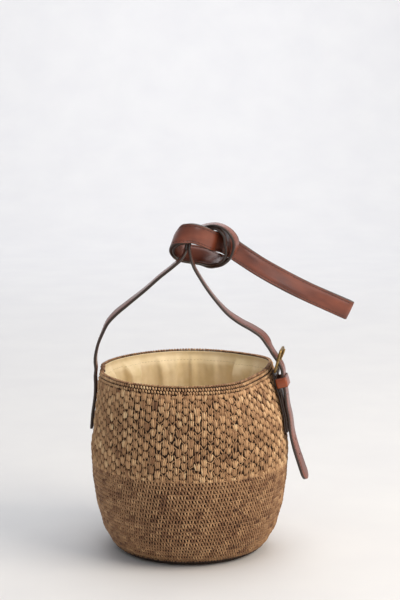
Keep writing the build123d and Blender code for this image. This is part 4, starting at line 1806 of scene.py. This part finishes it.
@dataclass
class BuckleSet:
    """Chape, buckle frame, prong and keeper on the right side."""

    form: BagForm
    side: BuckleSide
    finishes: Finishes
    frame_length: float = 27 * MM
    frame_half: float = 14.7 * MM
    frame_tilt: float = math.radians(14.5)
    wire: float = 1.8 * MM
    corner: float = 3.6 * MM
    prong_radius: float = 1.3 * MM
    eye: float = 2.5 * MM
    keeper_low: float = 205.6 * MM
    keeper_high: float = 218.6 * MM
    keeper_wall: float = 1.15 * MM
    keeper_corner: float = 1.3 * MM
    keeper_play: float = 0.6 * MM   # between the keeper and the strap
    clear_below: float = 2 * MM     # stretch of strap past its edges that the keeper clears
    clear_above: float = 4 * MM

    def chape(self) -> None:
        """Folded strip that holds the bar, with a slot for the prong."""
        out, up = self.side.bar
        turns = np.linspace(math.pi, 0, 9)[1:-1]
        arch = [(out + self.side.fold * math.cos(t), up + self.side.fold * math.sin(t)) for t in turns]
        line = self.side.ply_line(False) + arch + self.side.ply_line(True)[::-1]
        centres = np.array([self.side.point(*p) for p in line])
        route = Route(centres, np.tile(self.side.across(), (len(line), 1)))
        strip = LeatherStrip(thickness=self.side.chape_ply, creased=False, step=3 * MM)
        piece = strip.sweep("chape", route, self.finishes.chape,
                            pared=lambda z: self.side.thickness(z) / self.side.chape_ply)
        middle = self.side.point(out, up + 1 * MM)
        slot = Strap.punch(middle, self.side.point(1, 0), np.array((0, 0, 1.0)), 3.5 * MM, 6.5 * MM)
        slot.data.transform(Matrix.Translation(middle) @ Matrix.Scale(1.7, 4, Vector(self.side.point(1, 0)))
                            @ Matrix.Translation(-Vector(middle)))
        carve(piece, [slot])
        self.keep(piece, "root", "chape", "chape_leather")

    def buckle(self) -> None:
        """Cast frame whose heel is the thin bar."""
        out, up = self.side.bar
        lean = self.side.point(math.sin(self.frame_tilt), math.cos(self.frame_tilt))
        across = self.side.across()
        square = np.cross(across, lean)
        half, length, r = self.frame_half, self.frame_length, self.corner
        outline = []
        for centre_x, centre_y, start in ((half - r, length - r, 0), (-half + r, length - r, 90),
                                          (-half + r, r * 0.4, 180), (half - r, r * 0.4, 270)):
            reach = r if centre_y > r else r * 0.4
            for turn in np.radians(np.linspace(start, start + 90, 7)):
                outline.append((centre_x + r * math.cos(turn), centre_y + reach * math.sin(turn)))
        fine = []
        for (x0, y0), (x1, y1) in zip(outline, outline[1:] + outline[:1]):
            count = max(1, round(math.hypot(x1 - x0, y1 - y0) / (2.5 * MM)))
            fine += [(x0 + (x1 - x0) * k / count, y0 + (y1 - y0) * k / count) for k in range(count)]
        centres = np.array([self.side.point(out, up) + across * x + lean * y for x, y in fine])
        radii = []
        for x, y in fine:
            share = float(eased(np.array((y - 0.6 * MM) / (4 * MM))))
            wide = 1.6 * MM + (self.wire - 1.6 * MM) * share
            radii.append((wide, 1.6 * MM + 0.1 * MM * share))
        piece = swept_wire("buckle_frame", centres, np.array(radii), self.finishes.brass, True, square)
        self.keep(piece, "buckle_frame", "buckle_frame", "antique_brass")

    def prong(self) -> None:
        """Prong that turns on the bar and rests on the far crossbar."""
        out, up = self.side.bar
        tilt = self.frame_tilt
        rest = self.wire + self.prong_radius + 0.15 * MM
        far = (out + self.frame_length * math.sin(tilt), up + self.frame_length * math.cos(tilt))
        tip = (far[0] + rest * math.cos(tilt) + 1.6 * MM * math.sin(tilt),
               far[1] - rest * math.sin(tilt) + 1.6 * MM * math.cos(tilt))
        first = math.atan2(tip[1] - up, tip[0] - out)
        turns = np.linspace(first - 1.5 * math.pi, first + 0.35, 20)
        line = [(out + self.eye * math.cos(t), up + self.eye * math.sin(t)) for t in turns]
        leave = line[-1]
        for share in (0.1, 0.22, 0.4, 0.6, 0.78, 0.9, 0.97, 1.0):
            bow = 0.5 * MM * math.sin(math.pi * share)
            line.append((leave[0] + (tip[0] - leave[0]) * share + bow,
                         leave[1] + (tip[1] - leave[1]) * share))
        centres = np.array([self.side.point(*p) for p in line])
        wide = np.concatenate([np.full(20, 0.8 * MM), np.linspace(1.0, 1.3, 5) * MM,
                               np.array((1.25, 1.05, 0.35)) * MM])
        deep = np.concatenate([np.full(20, 1.45 * MM), np.linspace(1.4, 1.3, 5) * MM,
                               np.array((1.25, 1.05, 0.35)) * MM])
        piece = swept_wire("buckle_prong", centres, np.c_[wide, deep], self.finishes.brass, False,
                           self.side.across(), 12)
        self.keep(piece, "buckle_prong", "buckle_prong", "antique_brass")

    def keeper(self) -> None:
        """Leather loop round the strap; its back wall passes between the chape's two plies."""
        plies = [np.array(self.side.ply_line(outer)) for outer in (False, True)]
        low, high = (sum(np.interp(z, ply[:, 1], ply[:, 0]) for ply in plies) / 2
                     for z in (self.keeper_low, self.keeper_high))
        lean = math.atan2(low - high, self.keeper_high - self.keeper_low)
        run = np.array(self.side.run_line())[::-1]
        levels = np.linspace(self.keeper_low - self.clear_below, self.keeper_high + self.clear_above, 30)
        away = np.c_[np.interp(levels, run[:, 1], run[:, 0]) - (low + high) / 2,
                     levels - (self.keeper_low + self.keeper_high) / 2]
        strap = float((away @ (math.cos(lean), math.sin(lean))).max())
        depth = strap + PLY / 2 + self.keeper_play + self.keeper_wall / 2
        middle = depth / 2
        wide = STRAP_WIDTH + 1.2 * MM
        half_out, half_across = depth / 2, wide / 2 + self.keeper_wall / 2
        r = self.keeper_corner
        path = []
        for x, y, start in ((half_out - r, half_across - r, 0), (-half_out + r, half_across - r, 90),
                            (-half_out + r, -half_across + r, 180), (half_out - r, -half_across + r, 270)):
            for turn in np.radians(np.linspace(start, start + 90, 6)):
                path.append((x + r * math.cos(turn), y + r * math.sin(turn), math.cos(turn), math.sin(turn)))
        tall, thin = (self.keeper_high - self.keeper_low) / 2, self.keeper_wall / 2
        edge = 0.55 * MM
        section = [(-tall, -thin + edge), (-tall + edge, -thin), (0, -thin), (tall - edge, -thin),
                   (tall, -thin + edge), (tall, thin - edge), (tall - edge, thin),
                   (tall - 1.4 * MM, thin), (tall - 1.9 * MM, thin - 0.2 * MM), (tall - 2.4 * MM, thin),
                   (0, thin + 0.15 * MM), (-tall + 2.4 * MM, thin), (-tall + 1.9 * MM, thin - 0.2 * MM),
                   (-tall + 1.4 * MM, thin), (-tall + edge, thin), (-tall, thin - edge)]
        centre_up = (self.keeper_low + self.keeper_high) / 2
        centre_out = (low + high) / 2
        rows, hide = [], []
        for number, (x, y, nx, ny) in enumerate(path):
            for along, up in section:
                out, across = middle + x + nx * up, y + ny * up
                spot = (centre_out + out * math.cos(lean) - along * math.sin(lean),
                        centre_up + out * math.sin(lean) + along * math.cos(lean))
                rows.append(self.side.point(spot[0], spot[1], across))
                hide.append((number * 3 * MM, along, up))
        piece = make_object("keeper", np.array(rows), tube_faces(len(path), len(section), closed=True),
                            self.finishes.keeper)
        store(piece.data, "leather", np.array(hide))
        outward(piece, merge=False)
        self.keep(piece, "keeper", "keeper", "keeper_leather")

    @staticmethod
    def keep(piece: bpy.types.Object, body: str, node: str, slot: str) -> None:
        """Let a piece ride on its body and stand for its node.

        Args:
            piece: Finished piece.
            body: Body that carries it.
            node: Node of the frame that it stands for.
            slot: Material slot of the record; not used.
        """
        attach(piece, body)
        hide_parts(node)
        LOG.info("%s: %d faces", piece.name, len(piece.data.polygons))

    def build(self) -> None:
        """Build the four pieces."""
        self.chape()
        self.buckle()
        self.prong()
        self.keeper()


def dress_frame_pieces(finishes: Finishes) -> None:
    """Give the frame's own pieces that stay their real finishes.

    Args:
        finishes: Materials of the bag.
    """
    for name, finish in (
        ("base_board", finishes.board), ("left_backing_patch", finishes.suede),
        ("right_backing_patch", finishes.suede), ("chape_stitches", finishes.waxed_thread),
    ):
        node = frame["nodes"][name]
        for slot in node.material_slots:
            slot.material = finish
        if not node.material_slots:
            node.data.materials.append(finish)
        LOG.info("%s: %s", name, finish.name)


# ---------------------------------------------------------------- studio

@dataclass
class Studio:
    """Pale floor that curves up into a backdrop, soft lights and the camera."""

    half_width: float = 8.0
    front: float = -8.0
    back: float = 4.4
    height: float = 3.0
    bend: float = 1.6
    camera_place: tuple[float, float, float] = (0.0017, -1.9421, 0.6187)
    camera_down: float = 9.01
    camera_right: float = 0.33
    lens: float = 96.3

    def floor(self) -> None:
        """Floor and backdrop in one sweep."""
        line = [(self.front, 0.0), (self.back - self.bend, 0.0)]
        for turn in np.linspace(0, math.pi / 2, 13)[1:]:
            line.append((self.back - self.bend + self.bend * math.sin(turn),
                         self.bend * (1 - math.cos(turn))))
        line.append((self.back, self.height))
        rows = [(side * self.half_width, y, z) for y, z in line for side in (-1, 1)]
        faces = [(2 * i, 2 * i + 1, 2 * i + 3, 2 * i + 2) for i in range(len(line) - 1)]
        finish = FibreFinish("matt_paper", "#dadadb", "#dedede", 120, 0.75, 0.02).build()
        sweep = make_object("studio_sweep", np.array(rows), faces, finish)

    @staticmethod
    def light(name: str, place: tuple[float, float, float], aim: tuple[float, float, float],
              size: float, power: float, colour: str) -> None:
        """Square soft light aimed at a point.

        Args:
            name: Name of the light.
            place: Where it hangs.
            aim: Point that it faces.
            size: Length of its side.
            power: Power in watts.
            colour: Hex colour of its light.
        """
        lamp = bpy.data.lights.new(name, "AREA")
        lamp.size = size
        lamp.energy = power
        lamp.color = linear(colour)[:3]
        thing = bpy.data.objects.new(name, lamp)
        thing.location = place
        thing.rotation_euler = (Vector(aim) - Vector(place)).to_track_quat("-Z", "Y").to_euler()
        bpy.context.scene.collection.objects.link(thing)

    def build(self) -> None:
        """Build the floor, the lights, the surrounding glow and the camera."""
        self.floor()
        self.light("key", (1.8, -0.9, 1.5), (0, 0, 0.15), 1.6, 45, "#fff1df")
        self.light("top", (0.3, 0.1, 2.3), (0, 0, 0.1), 1.8, 25, "#ffffff")
        self.light("front", (0.4, -2.1, 0.95), (0.1, 0, 0.3), 0.6, 5, "#ffffff")
        self.light("backdrop", (0, 3.2, 2.6), (0, 4.2, 0.2), 3.0, 60, "#fbfbff")
        world = bpy.data.worlds.new("soft_room")
        world.use_nodes = True
        glow = world.node_tree.nodes["Background"]
        glow.inputs["Color"].default_value = linear("#f4f6fa")
        glow.inputs["Strength"].default_value = 0.4
        bpy.context.scene.world = world
        lens = bpy.data.cameras.new("camera")
        lens.lens = self.lens
        camera = bpy.data.objects.new("camera", lens)
        camera.location = self.camera_place
        camera.rotation_euler = (math.radians(90 - self.camera_down), 0, math.radians(-self.camera_right))
        bpy.context.scene.collection.objects.link(camera)
        bpy.context.scene.camera = camera
        bpy.context.scene.view_settings.view_transform = "Standard"


def main() -> None:
    """Build the bag piece by piece, then the studio."""
    logging.basicConfig(level=logging.INFO, format="%(name)s %(message)s")
    finishes = Finishes()
    form = BagForm()
    grower = StrandGrower()
    side = BuckleSide(form)
    Crochet(form, grower, finishes).build()
    Lining(form, grower, finishes).build()
    Strap(form, side, grower, finishes).build()
    BuckleSet(form, side, finishes).build()
    dress_frame_pieces(finishes)
    Studio().build()


if __name__ == "__main__":
    main()
